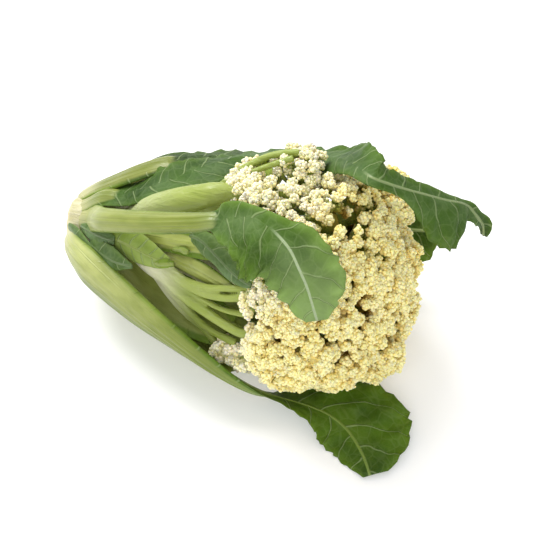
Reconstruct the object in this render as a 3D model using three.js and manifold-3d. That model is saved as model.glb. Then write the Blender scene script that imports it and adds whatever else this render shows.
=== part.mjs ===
// Stem cauliflower: a loose-curd cauliflower head as cut, lying on its side on a flat surface.
// A tapering main stem carries long forked stalks. Each stalk ends in a curd, and the curds make one
// lumpy dome. Trimmed and whole leaves stand round the stem on broad ribs and wrap the head.
// Millimetres, +Z up. +X runs along the head, from the cut butt to the curd.
import * as THREE from "three";
import { mergeVertices } from "three/addons/utils/BufferGeometryUtils.js";
import Module from "manifold-3d";

const wasm = await Module();
wasm.setup();

// ---------------------------------------------------------------- driving dimensions
const BUTT = new THREE.Vector3(-120, 0, 38); // centre of the cut end
const STEM_AIM = new THREE.Vector3(58, 0, 75); // the point that the main stem runs towards
const CURD = new THREE.Vector3(54, -2, 74); // centre of the curd at its widest
const DOME_RISE = THREE.MathUtils.degToRad(18); // how far the curd faces up
const DOME_TURN = THREE.MathUtils.degToRad(-10); // and how far it turns to the front
const STEM_LENGTH = 201;
const STEM_RADIUS = 18;
const GAP = 0.45; // air kept between neighbouring pieces
const SLIVER = 0.05; // faces smaller than this are tidied away after a cut
const LEAF_SKIN = 1.2; // thickness of a leaf blade
const LEAF_STEP = 13; // length of leaf between two of its cross-sections
const STALK_SIDES = 6;
const STALK_STEP = 22; // length of stalk between two of its cross-sections
const CURD_DETAIL = 2; // subdivision of each curd's surface
const CURD_SPREAD = 1.18; // how much wider than high a curd is
const CURD_LUMPS = 9;
const LUMP_SPREAD = 0.5; // angular size of a lump, in radians
const GOLDEN_ANGLE = Math.PI * (3 - Math.sqrt(5));

const COLOURS = {
  stem: { color: 0xd3cea1, roughness: 0.55, metalness: 0 },
  rib: { color: 0xb1b865, roughness: 0.45, metalness: 0 },
  blade: { color: 0x4c6e24, roughness: 0.5, metalness: 0 },
  stalk: { color: 0x94a63c, roughness: 0.45, metalness: 0 },
  curd: { color: 0xe0d18c, roughness: 0.75, metalness: 0 },
  paleCurd: { color: 0xeadfbd, roughness: 0.75, metalness: 0 },
};

// ---------------------------------------------------------------- frames of the head
// A place is a station along a frame's axis, an angle round it and a radius.
// Angle 0 is the upper side, 90 the front (-Y), 180 the underside and 270 the back.
function frameAlong(origin, axis) {
  const up = new THREE.Vector3(0, 0, 1).addScaledVector(axis, -axis.z).normalize();
  return { origin, axis, up, front: new THREE.Vector3().crossVectors(axis, up) };
}

function outward(frame, angle) {
  const a = THREE.MathUtils.degToRad(angle);
  return frame.up.clone().multiplyScalar(Math.cos(a)).addScaledVector(frame.front, Math.sin(a));
}

function placeOn(frame, station, angle, radius) {
  return frame.origin
    .clone()
    .addScaledVector(frame.axis, station)
    .addScaledVector(outward(frame, angle), radius);
}

// The stem frame runs from the butt to the curd. The dome frame starts at the curd's centre and looks
// the way that the curd faces, a little higher and more to the front than the stem.
const STEM = frameAlong(BUTT, STEM_AIM.clone().sub(BUTT).normalize());
const CURD_FACES = new THREE.Euler(0, -DOME_RISE, DOME_TURN, "ZYX");
const DOME = frameAlong(CURD, new THREE.Vector3(1, 0, 0).applyEuler(CURD_FACES));

// ---------------------------------------------------------------- curves and solids
// Catmull-Rom value of a list of number rows at t, where t counts rows.
function splineRow(rows, t) {
  const i = Math.min(Math.floor(t), rows.length - 2);
  const u = t - i;
  const row = (k) => rows[THREE.MathUtils.clamp(k, 0, rows.length - 1)];
  const [a, b, c, d] = [row(i - 1), row(i), row(i + 1), row(i + 2)];
  return b.map((value, k) => {
    const slope = (c[k] - a[k]) / 2;
    const nextSlope = (d[k] - value) / 2;
    const rise = c[k] - value;
    return value + u * (slope + u * (3 * rise - 2 * slope - nextSlope + u * (slope + nextSlope - 2 * rise)));
  });
}

// Closed body through rings with the same number of points, each end closed by a fan.
function loft(rings) {
  const sides = rings[0].length;
  const points = rings.flat();
  const faces = [];
  for (let k = 0; k + 1 < rings.length; k++) {
    for (let j = 0; j < sides; j++) {
      const next = (j + 1) % sides;
      const [a, b] = [k * sides + j, k * sides + next];
      const [c, d] = [a + sides, b + sides];
      faces.push(a, b, d, a, d, c);
    }
  }
  for (const [ring, first, turn] of [[rings[0], 0, 1], [rings.at(-1), (rings.length - 1) * sides, -1]]) {
    const centre = points.length;
    points.push(ring.reduce((sum, p) => sum.add(p), new THREE.Vector3()).divideScalar(sides));
    for (let j = 0; j < sides; j++) {
      const [a, b] = [first + j, first + ((j + 1) % sides)];
      faces.push(...(turn > 0 ? [centre, b, a] : [centre, a, b]));
    }
  }
  const geometry = new THREE.BufferGeometry().setFromPoints(points);
  geometry.setIndex(faces);
  return geometry;
}

function toSolid(geometry) {
  const bare = geometry.clone();
  bare.deleteAttribute("normal");
  bare.deleteAttribute("uv");
  const merged = mergeVertices(bare, 1e-3);
  const triVerts = new Uint32Array(merged.index.array);
  const vertProperties = merged.attributes.position.array;
  const solid = new wasm.Manifold(new wasm.Mesh({ numProp: 3, vertProperties, triVerts }));
  if (solid.volume() > 0) return solid;
  for (let i = 0; i < triVerts.length; i += 3) {
    [triVerts[i + 1], triVerts[i + 2]] = [triVerts[i + 2], triVerts[i + 1]];
  }
  return new wasm.Manifold(new wasm.Mesh({ numProp: 3, vertProperties, triVerts }));
}

function toGeometry(solid) {
  const { vertProperties, triVerts, numProp } = solid.getMesh();
  const positions = new Float32Array((vertProperties.length / numProp) * 3);
  for (let i = 0; i < positions.length / 3; i++) {
    for (let k = 0; k < 3; k++) positions[3 * i + k] = vertProperties[numProp * i + k];
  }
  const geometry = new THREE.BufferGeometry();
  geometry.setAttribute("position", new THREE.BufferAttribute(positions, 3));
  geometry.setIndex(new THREE.BufferAttribute(new Uint32Array(triVerts), 1));
  return geometry;
}

const union = (solids) => solids.reduce((sum, solid) => sum.add(solid));
const largest = (solid) => solid.decompose().reduce((a, b) => (a.volume() > b.volume() ? a : b));

// Round body along a route of points, with a radius at each.
function tube(points, radii) {
  const curve = new THREE.CatmullRomCurve3(points, false, "centripetal");
  const steps = Math.max(3, Math.round(curve.getLength() / STALK_STEP));
  const { normals, binormals } = curve.computeFrenetFrames(steps, false);
  const rings = [];
  for (let k = 0; k <= steps; k++) {
    const centre = curve.getPointAt(k / steps);
    const [radius] = splineRow(radii.map((r) => [r]), (k / steps) * (radii.length - 1));
    const ring = [];
    for (let j = 0; j < STALK_SIDES; j++) {
      const turn = (2 * Math.PI * j) / STALK_SIDES;
      const spoke = normals[k].clone().multiplyScalar(radius * Math.cos(turn));
      ring.push(spoke.addScaledVector(binormals[k], radius * Math.sin(turn)).add(centre));
    }
    rings.push(ring);
  }
  return toSolid(loft(rings));
}

// ---------------------------------------------------------------- main stem
// Profile as [station, radius]. The grown copy keeps its neighbours off the stem.
const STEM_PROFILE = [
  [0, STEM_RADIUS - 1.5], [2, STEM_RADIUS], [14, STEM_RADIUS + 1], [34, STEM_RADIUS], [60, 16],
  [90, 12.5], [120, 9], [160, 6.5], [STEM_LENGTH, 5],
];

function mainStem(grow) {
  const profile = STEM_PROFILE.map(([station, radius]) => new THREE.Vector2(radius + grow, station));
  const first = new THREE.Vector2(0, -grow);
  const last = new THREE.Vector2(0, STEM_LENGTH + grow);
  profile[0].y -= grow;
  profile.at(-1).y += grow;
  const geometry = new THREE.LatheGeometry([first, ...profile, last], 16);
  geometry.applyQuaternion(new THREE.Quaternion().setFromUnitVectors(new THREE.Vector3(0, 1, 0), STEM.axis));
  geometry.translate(BUTT.x, BUTT.y, BUTT.z);
  return toSolid(geometry);
}

// ---------------------------------------------------------------- leaves
// Each row of a leaf's route, from its base to its tip:
// [station, angle, radius, facing, rib half-width, rib thickness, blade low, blade high, fold low, fold high]
// Facing is the angle that the outer side looks towards. Blade low and high are the widths beyond the
// rib on the side of the smaller and of the larger angle, and the folds turn them inwards, in degrees.
// Sweep is how far the blade on the high side lies towards the tip, as a share of its width.
const LEAVES = {
  leaf_front: {
    curl: 9, ruffle: 1.4, waves: 3.2, tone: "blade",
    route: [
      [11, 36, 19, 36, 7, 7.5, 0.8, 0.8, 0, 0],
      [24, 37, 30, 37, 7.8, 8.2, 0.8, 0.8, 0, 0],
      [53, 38, 50.5, 38, 7.6, 8, 0.8, 0.8, 0, 0],
      [91, 35, 65, 35, 7, 7, 0.8, 0.8, 0, 0],
      [124, 31.5, 73.5, 32, 6.4, 6, 0.8, 0.8, 0, 0],
      [138, 29.5, 77.5, 30, 5.4, 5.2, 0.8, 0.8, 0, 0],
      [146, 28.5, 80.5, 29, 4.7, 4.7, 5, 10, -30, 0],
      [156, 27, 84.5, 28, 4, 4.3, 6, 18, -20, 5],
      [167, 26.5, 88, 28, 3.4, 4, 4, 25, 0, 9],
      [178, 28, 90, 30, 3, 3.6, 5, 29, 0, 12],
      [188, 31, 89.5, 33, 2.6, 3.2, 9, 30, 0, 12],
      [197, 35, 88, 37, 2.3, 2.8, 16, 28, 0, 10],
      [204, 41, 85.5, 42, 2, 2.5, 20, 24, 0, 8],
      [210, 48, 82, 48, 1.7, 2.1, 21, 19, 0, 4],
      [214, 55, 80, 54, 1.4, 1.8, 15, 13, 0, 0],
      [217, 61, 79, 59, 1, 1.4, 6, 6, 0, 0],
    ],
  },
  leaf_bottom: {
    curl: 3, ruffle: 1.6, waves: 3.4, tone: "blade",
    route: [
      [5, 84, 20, 70, 10.5, 9, 0.8, 0.8, 0, 0],
      [15, 80, 32, 66, 11, 10, 0.8, 0.8, 0, 0],
      [34, 83, 42, 64, 11, 10, 0.8, 0.8, 0, 0],
      [54, 90, 49, 66, 11, 9.5, 0.8, 0.8, 0, 0],
      [79, 96, 58, 74, 10.5, 9, 0.8, 0.8, 0, 0],
      [104, 102, 66, 86, 9.5, 8, 0.8, 1, 0, 0],
      [125, 110, 72, 100, 8, 7, 1, 1.5, 0, 0],
      [142, 120, 77, 118, 6.5, 6, 1.5, 3, 0, 0],
      [156, 130, 81, 138, 5, 5, 2, 5, 0, 0],
      [168, 138, 83, 155, 4, 4.2, 4, 11, 0, 0],
      [181, 142, 85, 168, 3.2, 3.6, 9, 21, 0, 0],
      [194, 145, 88.5, 178, 2.6, 3.1, 15, 28, 0, 0],
      [206, 145, 93.5, 182, 2.2, 2.7, 16, 35, 0, 0],
      [216, 143, 99.5, 182, 1.9, 2.3, 14, 36, 0, 0],
      [226, 140, 107, 181, 1.6, 1.9, 10, 26, 0, 0],
      [234, 137, 115, 180, 1.1, 1.3, 3, 10, 0, 0],
    ],
  },
  leaf_back: {
    curl: 9, ruffle: 1.4, waves: 2.4, tone: "blade",
    route: [
      [7, -24, 15, -20, 7, 7, 0.8, 0.8, 0, 0],
      [17, -22, 22, -14, 7.5, 7, 1, 1, 0, 0],
      [34, -16, 32.5, -10, 8, 7, 3, 1, 0, 0],
      [52, -15, 43, -8, 8.5, 7, 4, 1, 0, 0],
      [72, -20, 51.5, -12, 8.5, 6.5, 4, 0.8, 0, 0],
      [90, -30, 56, -20, 6.5, 5.5, 6, 6, 0, 0],
      [106, -42, 59, -32, 4.5, 4.5, 9, 10, 0, 0],
      [122, -54, 61.5, -44, 3.2, 3.5, 11, 10, 0, 0],
      [138, -63, 64, -56, 2.2, 2.6, 9, 7, 0, 0],
      [150, -68, 66, -62, 1.4, 1.8, 3, 3, 0, 0],
    ],
  },
  leaf_top: {
    curl: 6, ruffle: 1.8, waves: 4, sweep: 0.35, tone: "blade",
    route: [
      [14, 6, 20, 6, 7, 7, 0.8, 0.8, 0, 0],
      [32, 7, 30, 7, 6, 6, 2, 2, 0, 0],
      [53, 7, 39, 7, 4.6, 5.4, 5, 4, 0, 10],
      [72, 4, 48, 4, 3.8, 5, 6, 5, 0, 10],
      [88, -5, 53, -3, 3.4, 4.6, 7, 6, 0, 10],
      [100, -15, 56, -12, 3.2, 4.4, 8, 8, 0, 10],
      [110, -26, 58.5, -23, 3, 4.2, 10, 9, 0, 10],
      [122, -37, 62, -35, 3, 4, 11, 9, 4, 10],
      [141, -43, 66.5, -36, 3, 4, 12, 8, 4, 8],
      [158, -44, 68, -22, 3, 3.8, 13, 8, 2, 10],
      [172, -40, 69.5, -5, 3, 3.8, 16, 8, 2, 20],
      [183, -33, 71, 6, 3, 3.7, 18, 8, 0, 26],
      [194, -26, 73, 13, 2.9, 3.6, 19, 6, 0, 34],
      [204, -19, 75, 17, 2.7, 3.4, 19, 4, 0, 40],
      [213, -13, 76.5, 19, 2.6, 3.2, 19, 3, 2, 46],
      [222, -10, 76, 21, 2.5, 3, 18, 2.5, 4, 50],
      [234, -18, 67, 22, 2.2, 2.6, 12, 4, 4, 66],
      [243, -31, 60, 22, 2, 2.3, 6, 16, 4, 72],
      [250, -45, 57, 22, 1.7, 2, 4, 25, 4, 72],
      [255, -57, 58, 22, 1.4, 1.8, 3, 26, 4, 68],
      [258, -66, 59, 24, 1.1, 1.4, 2.5, 15, 0, 50],
      [261, -75, 58, 26, 0.9, 1.1, 3, 4, 0, 20],
      [263, -84, 58.5, 26, 0.8, 1, 5, 4, 0, 0],
      [262, -93, 59, 26, 0.7, 0.9, 2, 2, 0, 0],
    ],
  },
  leaf_rear_low: {
    curl: 10, ruffle: 1.8, waves: 3.4, tone: "blade",
    route: [
      [5, 238, 20, 238, 10, 9, 0.8, 0.8, 0, 0],
      [18, 234, 31, 234, 10, 9, 0.8, 0.8, 0, 0],
      [48, 236, 47, 236, 9.5, 8, 0.8, 0.8, 0, 0],
      [84, 239, 61, 239, 8.5, 7, 0.8, 0.8, 0, 0],
      [114, 241, 71, 241, 7, 6, 1, 1, 0, 0],
      [138, 242, 78, 242, 5, 5, 8, 6, 0, 0],
      [160, 243, 84, 243, 3.6, 4, 18, 14, 6, 6],
      [182, 245, 87, 245, 2.8, 3.2, 24, 17, 10, 8],
      [200, 247, 86, 248, 2.2, 2.6, 22, 16, 10, 8],
      [213, 249, 83, 250, 1.7, 2.1, 14, 11, 8, 6],
      [221, 250, 80, 252, 1.1, 1.6, 4, 4, 0, 0],
    ],
  },
  leaf_under: {
    curl: 6, ruffle: 0.8, waves: 2, tone: "rib",
    route: [
      [5, 187, 19, 187, 10, 8, 0.8, 0.8, 0, 0],
      [22, 185, 32, 185, 10, 8, 0.8, 0.8, 0, 0],
      [48, 184, 43, 184, 10, 7.5, 0.8, 0.8, 0, 0],
      [78, 184, 51, 184, 9, 7, 0.8, 0.8, 0, 0],
      [108, 186, 57.5, 186, 8, 6, 1, 1, 0, 0],
      [134, 187, 64, 187, 6, 5, 4, 4, 0, 0],
      [152, 188, 68, 188, 4.5, 4, 6, 6, 0, 0],
    ],
  },
  leaf_under_front: {
    curl: 16, ruffle: 0.8, waves: 2, tone: "rib",
    route: [
      [14, 128, 20, 134, 9, 6, 0.8, 0.8, 0, 0],
      [30, 126, 31, 148, 13, 6, 2, 2, 0, 0],
      [56, 126, 41, 160, 15, 6, 3, 3, 0, 0],
      [88, 127, 51, 166, 15, 5.5, 4, 4, 0, 0],
      [116, 129, 60, 166, 13, 5, 6, 6, 0, 0],
      [140, 131, 67, 160, 9, 4, 9, 8, 0, 0],
    ],
  },
  leaf_rear_high: {
    curl: 9, ruffle: 1, waves: 2, tone: "rib",
    route: [
      [12, 288, 20, 288, 9, 8, 0.8, 0.8, 0, 0],
      [30, 289, 33, 289, 9, 8, 0.8, 0.8, 0, 0],
      [56, 291, 45, 291, 9, 7, 0.8, 0.8, 0, 0],
      [88, 293, 56, 293, 8, 6.5, 0.8, 0.8, 0, 0],
      [114, 294, 62, 294, 6.5, 5, 1.5, 1.5, 0, 0],
      [132, 295, 64, 295, 4.5, 3.6, 3, 3, 0, 0],
    ],
  },
  leaf_inner: {
    curl: 16, ruffle: 0.5, waves: 2, tone: "rib",
    route: [
      [34, 50, 20, 50, 9, 5, 0.8, 0.8, 0, 0],
      [60, 54, 31, 54, 10, 5, 0.8, 0.8, 0, 0],
      [92, 55, 43, 55, 10, 4.5, 1.5, 1.5, 0, 0],
      [116, 57, 49, 57, 7.5, 3.6, 3, 3, 0, 0],
      [132, 59, 53, 59, 3, 2.4, 3, 3, 0, 0],
    ],
  },
  leaf_bract: {
    curl: 20, ruffle: 0.6, waves: 2, tone: "rib",
    route: [
      [20, 70, 21, 66, 5, 4, 1, 1, 0, 0],
      [36, 68, 33, 64, 6.5, 4, 2, 2, 0, 0],
      [52, 66, 42, 62, 7, 3.4, 3, 3, 0, 0],
      [66, 63, 47, 60, 5, 2.6, 4, 4, 0, 0],
      [74, 61, 49, 58, 2, 1.6, 2, 2, 0, 0],
    ],
  },
  leaf_small: {
    curl: 40, ruffle: 1, waves: 3, tone: "blade",
    route: [
      [88, 70, 27, 68, 2.6, 2.8, 0.8, 0.8, 0, 0],
      [118, 65, 44, 64, 2.4, 2.6, 0.8, 0.8, 0, 0],
      [148, 61, 60, 60, 2, 2.2, 2, 3, 0, 0],
      [153, 53, 68, 52, 1.7, 1.8, 5, 6, 20, 20],
      [142, 47, 71, 44, 1.4, 1.5, 6, 6, 30, 30],
      [129, 43, 69, 40, 1, 1.2, 3, 3, 20, 20],
    ],
  },
};

// Cross-section of a leaf at one station: the outer side from low to high, then the inner side back.
// Where a leaf would dip below the surface that the head lies on, it lies flat on it instead.
const OUTER_STEPS = [-3, -2, -1, 0, 1, 2, 3];
const INNER_STEPS = [2, 1, 0, -1, -2];

function leafRing(place, row, leaf, ruffleHeight, grow) {
  const [, , , , ribHalf, rib, low, high, foldLow, foldHigh] = row;
  const half = Math.max(ribHalf, 0.6);
  const ring = [];
  const add = (step, side) => {
    const sign = Math.sign(step);
    const steps = Math.abs(step);
    const blade = Math.max(sign < 0 ? low : high, 0.5) + grow;
    const x = steps <= 1 ? half * steps : half + (blade * (steps - 1)) / 2;
    const dome = steps === 0 ? 1 : 0.2 * (steps === 1);
    const skin = steps === 3 ? 0 : LEAF_SKIN / 2 + grow;
    const wave = steps > 1 ? (ruffleHeight * (steps - 1) * Math.min(blade, 12)) / 24 : 0;
    const height = side * (skin + rib * dome * (side > 0 ? 0.6 : 0.35)) + wave;
    // the section bends round a circle, and the blade also turns by its fold
    const bend = (leaf.curl / 1000) * x;
    const fold = THREE.MathUtils.degToRad(sign < 0 ? foldLow : foldHigh);
    const beyond = Math.max(0, x - half);
    const lean = bend + (beyond ? fold : 0);
    const across = Math.min(x, half) + beyond * Math.cos(fold) + height * Math.sin(lean);
    const sag = (x * x * leaf.curl) / 2000 + beyond * Math.sin(fold);
    const point = place.point
      .clone()
      .addScaledVector(place.tangent, sign > 0 ? beyond * (leaf.sweep ?? 0) : 0)
      .addScaledVector(place.side, sign * across)
      .addScaledVector(place.normal, height * Math.cos(lean) - sag);
    const above = side * place.normal.z > 0;
    point.z = Math.max(point.z, above ? LEAF_SKIN + grow : -grow);
    ring.push(point);
  };
  OUTER_STEPS.forEach((step) => add(step, 1));
  INNER_STEPS.forEach((step) => add(step, -1));
  return ring;
}

// Values of t, counted in rows, that lie a leaf step apart along the leaf, both ends included.
function evenStops(rows) {
  const points = rows.map((row) => new THREE.Vector3(...row));
  const lengths = [0];
  for (let k = 1; k < points.length; k++) lengths.push(lengths[k - 1] + points[k].distanceTo(points[k - 1]));
  const count = Math.round(lengths.at(-1) / LEAF_STEP);
  return Array.from({ length: count + 1 }, (_, k) => {
    const length = (lengths.at(-1) * k) / count;
    const row = THREE.MathUtils.clamp(lengths.findIndex((end) => end >= length) - 1, 0, rows.length - 2);
    return row + (length - lengths[row]) / (lengths[row + 1] - lengths[row]);
  });
}

function leafSolid(leaf, grow) {
  const rows = leaf.route.map((row) => [...placeOn(STEM, ...row.slice(0, 3)).toArray(), ...row.slice(3)]);
  const at = (t) => splineRow(rows, THREE.MathUtils.clamp(t, 0, rows.length - 1));
  const stops = evenStops(rows);
  const count = stops.length;
  const rings = [];
  for (let k = 0; k < count; k++) {
    const t = stops[k];
    const row = at(t);
    const point = new THREE.Vector3(...row);
    const tangent = new THREE.Vector3(...at(t + 0.1)).sub(new THREE.Vector3(...at(t - 0.1))).normalize();
    if (grow && (k === 0 || k === count - 1)) point.addScaledVector(tangent, k ? grow : -grow);
    const normal = outward(STEM, row[3]);
    normal.addScaledVector(tangent, -normal.dot(tangent)).normalize();
    const side = new THREE.Vector3().crossVectors(tangent, normal);
    const wave = leaf.ruffle * Math.sin((2 * Math.PI * leaf.waves * k) / (count - 1));
    rings.push(leafRing({ point, tangent, normal, side }, row, leaf, wave, grow));
  }
  return toSolid(loft(rings));
}

// ---------------------------------------------------------------- curds
// Rings of curds round the dome. Each place is [out, angle, radius, size]: how far out along the dome's
// axis, where round it, and the curd's own radius where it isn't the ring's. Tilt is how far the curds
// of the ring lean away from the axis.
const CURD_RINGS = {
  crown: { tilt: 0, size: 20, places: [[35, 0, 0]] },
  shoulder: {
    tilt: 25, size: 20,
    places: [[31, 20, 27], [31, 92, 27], [32, 164, 28], [31, 236, 27], [31, 308, 26]],
  },
  middle: {
    tilt: 52, size: 20,
    places: [
      [21, -2, 50], [21, 34, 50], [22, 70, 50], [22, 106, 51], [23, 142, 50],
      [32, 178, 56], [25, 212, 52], [21, 247, 52], [22, 288, 63, 19], [18, 320, 48],
    ],
  },
  rim: {
    tilt: 84, size: 20,
    places: [
      [-5, 16, 58], [6, 44, 56], [1, 100, 58], [-3, 132, 59], [0, 164, 59],
      [0, 195, 58], [-2, 225, 58], [-3, 254, 60], [0, 286, 66], [-9, 340, 65],
    ],
  },
  skirt: {
    tilt: 98, size: 17,
    places: [
      [-31, -14, 62], [-37, 9, 62, 12], [5, 64, 62, 11], [-33, 119, 61], [-47, 122, 68, 10],
      [-28, 152, 57], [-28, 188, 57], [-28, 222, 58], [-28, 256, 58], [-26, 298, 60],
    ],
  },
};
const PALE_BEHIND = -4; // curds on the upper side that sit further back than this are paler
const CURD_FLOOR = 0.5; // how far below its centre a curd is cut flat, as a share of its size

const curds = Object.entries(CURD_RINGS).flatMap(([ring, { tilt, size: ringSize, places }]) =>
  places.map(([out, angle, radius, size = ringSize], k) => {
    const lean = THREE.MathUtils.degToRad(tilt);
    const facing = DOME.axis.clone().multiplyScalar(Math.cos(lean));
    facing.addScaledVector(outward(DOME, angle), Math.sin(lean));
    const name = `curd_${ring}` + (places.length > 1 ? `_${String(k + 1).padStart(2, "0")}` : "");
    return { name, ring, angle, out, size, facing, centre: placeOn(DOME, out, angle, radius) };
  }),
);

// A rounded cap with lumps, flat underneath where its stalk enters.
function curdSolid(curd, index, grow) {
  const geometry = new THREE.IcosahedronGeometry(1, CURD_DETAIL);
  const lumps = [];
  for (let k = 0; k < CURD_LUMPS; k++) {
    const z = 1 - (1.5 * (k + 0.5)) / CURD_LUMPS;
    const turn = k * GOLDEN_ANGLE + index;
    const reach = Math.sqrt(1 - z * z);
    lumps.push(new THREE.Vector3(reach * Math.cos(turn), reach * Math.sin(turn), z));
  }
  const position = geometry.attributes.position;
  const point = new THREE.Vector3();
  for (let i = 0; i < position.count; i++) {
    point.fromBufferAttribute(position, i).normalize();
    const nearest = Math.min(...lumps.map((lump) => lump.angleTo(point)));
    const lump = Math.exp(-((nearest / LUMP_SPREAD) ** 2));
    point.multiplyScalar(curd.size * (0.88 + 0.18 * lump) + grow);
    position.setXYZ(i, point.x, point.y, point.z);
  }
  geometry.scale(CURD_SPREAD, CURD_SPREAD, 1);
  const upright = new THREE.Vector3(0, 0, 1);
  geometry.applyQuaternion(new THREE.Quaternion().setFromUnitVectors(upright, curd.facing));
  geometry.translate(...curd.centre.toArray());
  const underside = curd.centre.dot(curd.facing) - CURD_FLOOR * curd.size - grow;
  return toSolid(geometry).trimByPlane(curd.facing.toArray(), underside);
}

// Keeps a curd on its own side of the plane half way to each neighbour.
function partFromNeighbours(solid, curd, grow) {
  for (const other of curds) {
    const reach = other.centre.clone().sub(curd.centre);
    const distance = reach.length();
    if (other === curd || distance > 1.1 * (curd.size + other.size)) continue;
    const normal = reach.divideScalar(-distance);
    const share = curd.size / (curd.size + other.size);
    const limit = normal.dot(curd.centre) - distance * share + GAP / 2;
    solid = solid.trimByPlane(normal.toArray(), limit - grow);
  }
  return solid;
}

// ---------------------------------------------------------------- branches
// Forked stalks. The trunk runs through places [station, angle, radius] on the stem frame, and from its
// end a stalk runs to each curd of the named rings whose angle lies between from and to.
const BRANCHES = {
  branch_top: {
    trunk: [[44, 22, 10], [74, 20, 43], [122, 11, 63]], radius: 9, taper: 0.75, stalk: 4,
    rings: ["rim", "skirt"], from: -30, to: 30,
  },
  branch_front: {
    trunk: [[42, 62, 10], [70, 67, 38], [98, 75, 51]], radius: 9.5, split: 0.6, stalk: 4.4,
    rings: ["rim", "skirt"], from: 30, to: 125,
  },
  branch_front_low: {
    trunk: [[54, 134, 8], [76, 134, 28], [102, 136, 42]], radius: 7, stalk: 3.6,
    rings: ["rim", "skirt"], from: 125, to: 160,
  },
  branch_under: {
    trunk: [[48, 180, 8], [68, 180, 24], [104, 180, 42]], radius: 8, stalk: 4,
    rings: ["rim", "skirt"], from: 160, to: 215,
  },
  branch_rear_low: {
    trunk: [[52, 236, 8], [72, 236, 26], [108, 238, 46]], radius: 8, stalk: 4,
    rings: ["rim", "skirt"], from: 215, to: 275,
  },
  branch_rear_high: {
    trunk: [[48, 306, 8], [68, 306, 26], [108, 304, 46]], radius: 8, stalk: 4,
    rings: ["rim", "skirt"], from: 275, to: 330,
  },
  branch_inner_top: {
    trunk: [[86, 16, 6], [104, 18, 18], [132, 20, 27]], radius: 6, stalk: 3.8,
    rings: ["middle"], from: -10, to: 50,
  },
  branch_inner_front: {
    trunk: [[92, 100, 6], [110, 98, 18], [134, 94, 26]], radius: 6, stalk: 3.8,
    rings: ["middle"], from: 50, to: 125,
  },
  branch_inner_under: {
    trunk: [[88, 180, 6], [106, 180, 18], [134, 180, 27]], radius: 6, stalk: 3.8,
    rings: ["middle"], from: 125, to: 230,
  },
  branch_inner_rear: {
    trunk: [[94, 280, 6], [112, 280, 18], [138, 282, 27]], radius: 6, stalk: 3.8,
    rings: ["middle"], from: 230, to: 350,
  },
  branch_shoulder_front: {
    trunk: [[128, 92, 4], [142, 92, 12], [158, 92, 16]], radius: 4.6, stalk: 3.4,
    rings: ["shoulder"], from: 0, to: 180,
  },
  branch_shoulder_rear: {
    trunk: [[132, 272, 4], [146, 272, 12], [162, 272, 16]], radius: 4.6, stalk: 3.4,
    rings: ["shoulder"], from: 180, to: 360,
  },
};
const TRUNK_TAPER = 0.65; // width of a trunk where it forks, as a share of its full width
const TRUNK_SPLIT = 0.2; // where the stalks part inside the trunk, from its middle (0) to its fork (1)
const STALK_FLARE = 1.35; // how much wider a stalk is where it enters its curd

const between = (angle, from, to) => [angle - 360, angle, angle + 360].some((a) => a >= from && a < to);

function branchSolid(branch, grow) {
  const trunkRadius = branch.radius + grow;
  const stalk = branch.stalk + grow;
  const trunk = branch.trunk.map((place) => placeOn(STEM, ...place));
  const fork = trunk.at(-1);
  const root = trunk[1].clone().lerp(fork, branch.split ?? TRUNK_SPLIT);
  const parts = [tube(trunk, [trunkRadius * 0.85, trunkRadius, trunkRadius * (branch.taper ?? TRUNK_TAPER)])];
  const served = curds.filter(
    ({ ring, angle }) => branch.rings.includes(ring) && between(angle, branch.from, branch.to),
  );
  for (const { centre, facing, size, angle } of served) {
    const end = centre.clone().addScaledVector(facing, -CURD_FLOOR * size - GAP - 0.2);
    const under = end.clone().addScaledVector(facing, -Math.min(0.8 * size, 0.3 * fork.distanceTo(end)));
    const bow = fork.clone().lerp(under, 0.5).addScaledVector(outward(DOME, angle), 2);
    const thin = (stalk * (2 * size + 20)) / 60;
    parts.push(tube([root, bow, under, end], [stalk * 1.3, stalk, thin, thin * STALK_FLARE]));
  }
  return union(parts);
}

// ---------------------------------------------------------------- assembly
// Pieces are settled in order. Each is cut back from a slightly grown copy of those before it,
// and from the surface that the head lies on.
const head = new THREE.Group();
const kept = [];

function settle(name, solid, grown, look) {
  const box = grown.boundingBox();
  const near = kept.filter(
    (other) => [0, 1, 2].every((k) => other.box.min[k] < box.max[k] && other.box.max[k] > box.min[k]),
  );
  const free = near.reduce((rest, other) => rest.subtract(other.grown), solid);
  const piece = largest(free.trimByPlane([0, 0, 1], 0).simplify(SLIVER));
  kept.push({ grown, box });
  const mesh = new THREE.Mesh(toGeometry(piece), new THREE.MeshStandardMaterial(COLOURS[look]));
  mesh.name = name;
  head.add(mesh);
}

settle("main_stem", mainStem(0), mainStem(GAP), "stem");
for (const [name, leaf] of Object.entries(LEAVES)) {
  settle(name, leafSolid(leaf, 0), leafSolid(leaf, GAP), leaf.tone);
}
curds.forEach((curd, k) => {
  const pale = curd.out < PALE_BEHIND && between(curd.angle, -30, 30);
  const [solid, grown] = [0, GAP].map((grow) => partFromNeighbours(curdSolid(curd, k, grow), curd, grow));
  settle(curd.name, solid, grown, pale ? "paleCurd" : "curd");
});
for (const [name, branch] of Object.entries(BRANCHES)) {
  settle(name, branchSolid(branch, 0), branchSolid(branch, GAP), "stalk");
}

// The origin is under the middle of the whole head, on the surface that it lies on.
head.updateMatrixWorld(true);
const extent = new THREE.Box3().setFromObject(head);
const middle = extent.getCenter(new THREE.Vector3());
head.position.set(-middle.x, -middle.y, -extent.min.z);

export default head;
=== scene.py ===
# A stem cauliflower lying on its side: loose yellow curds on long forked stalks, wrapped by ribbed leaves.
# Places are in millimetres in the head's own frame, and every mesh is made in metres in the part's frame.
import math

import bpy
import numpy as np
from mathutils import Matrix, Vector, noise
from mathutils.bvhtree import BVHTree


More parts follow.
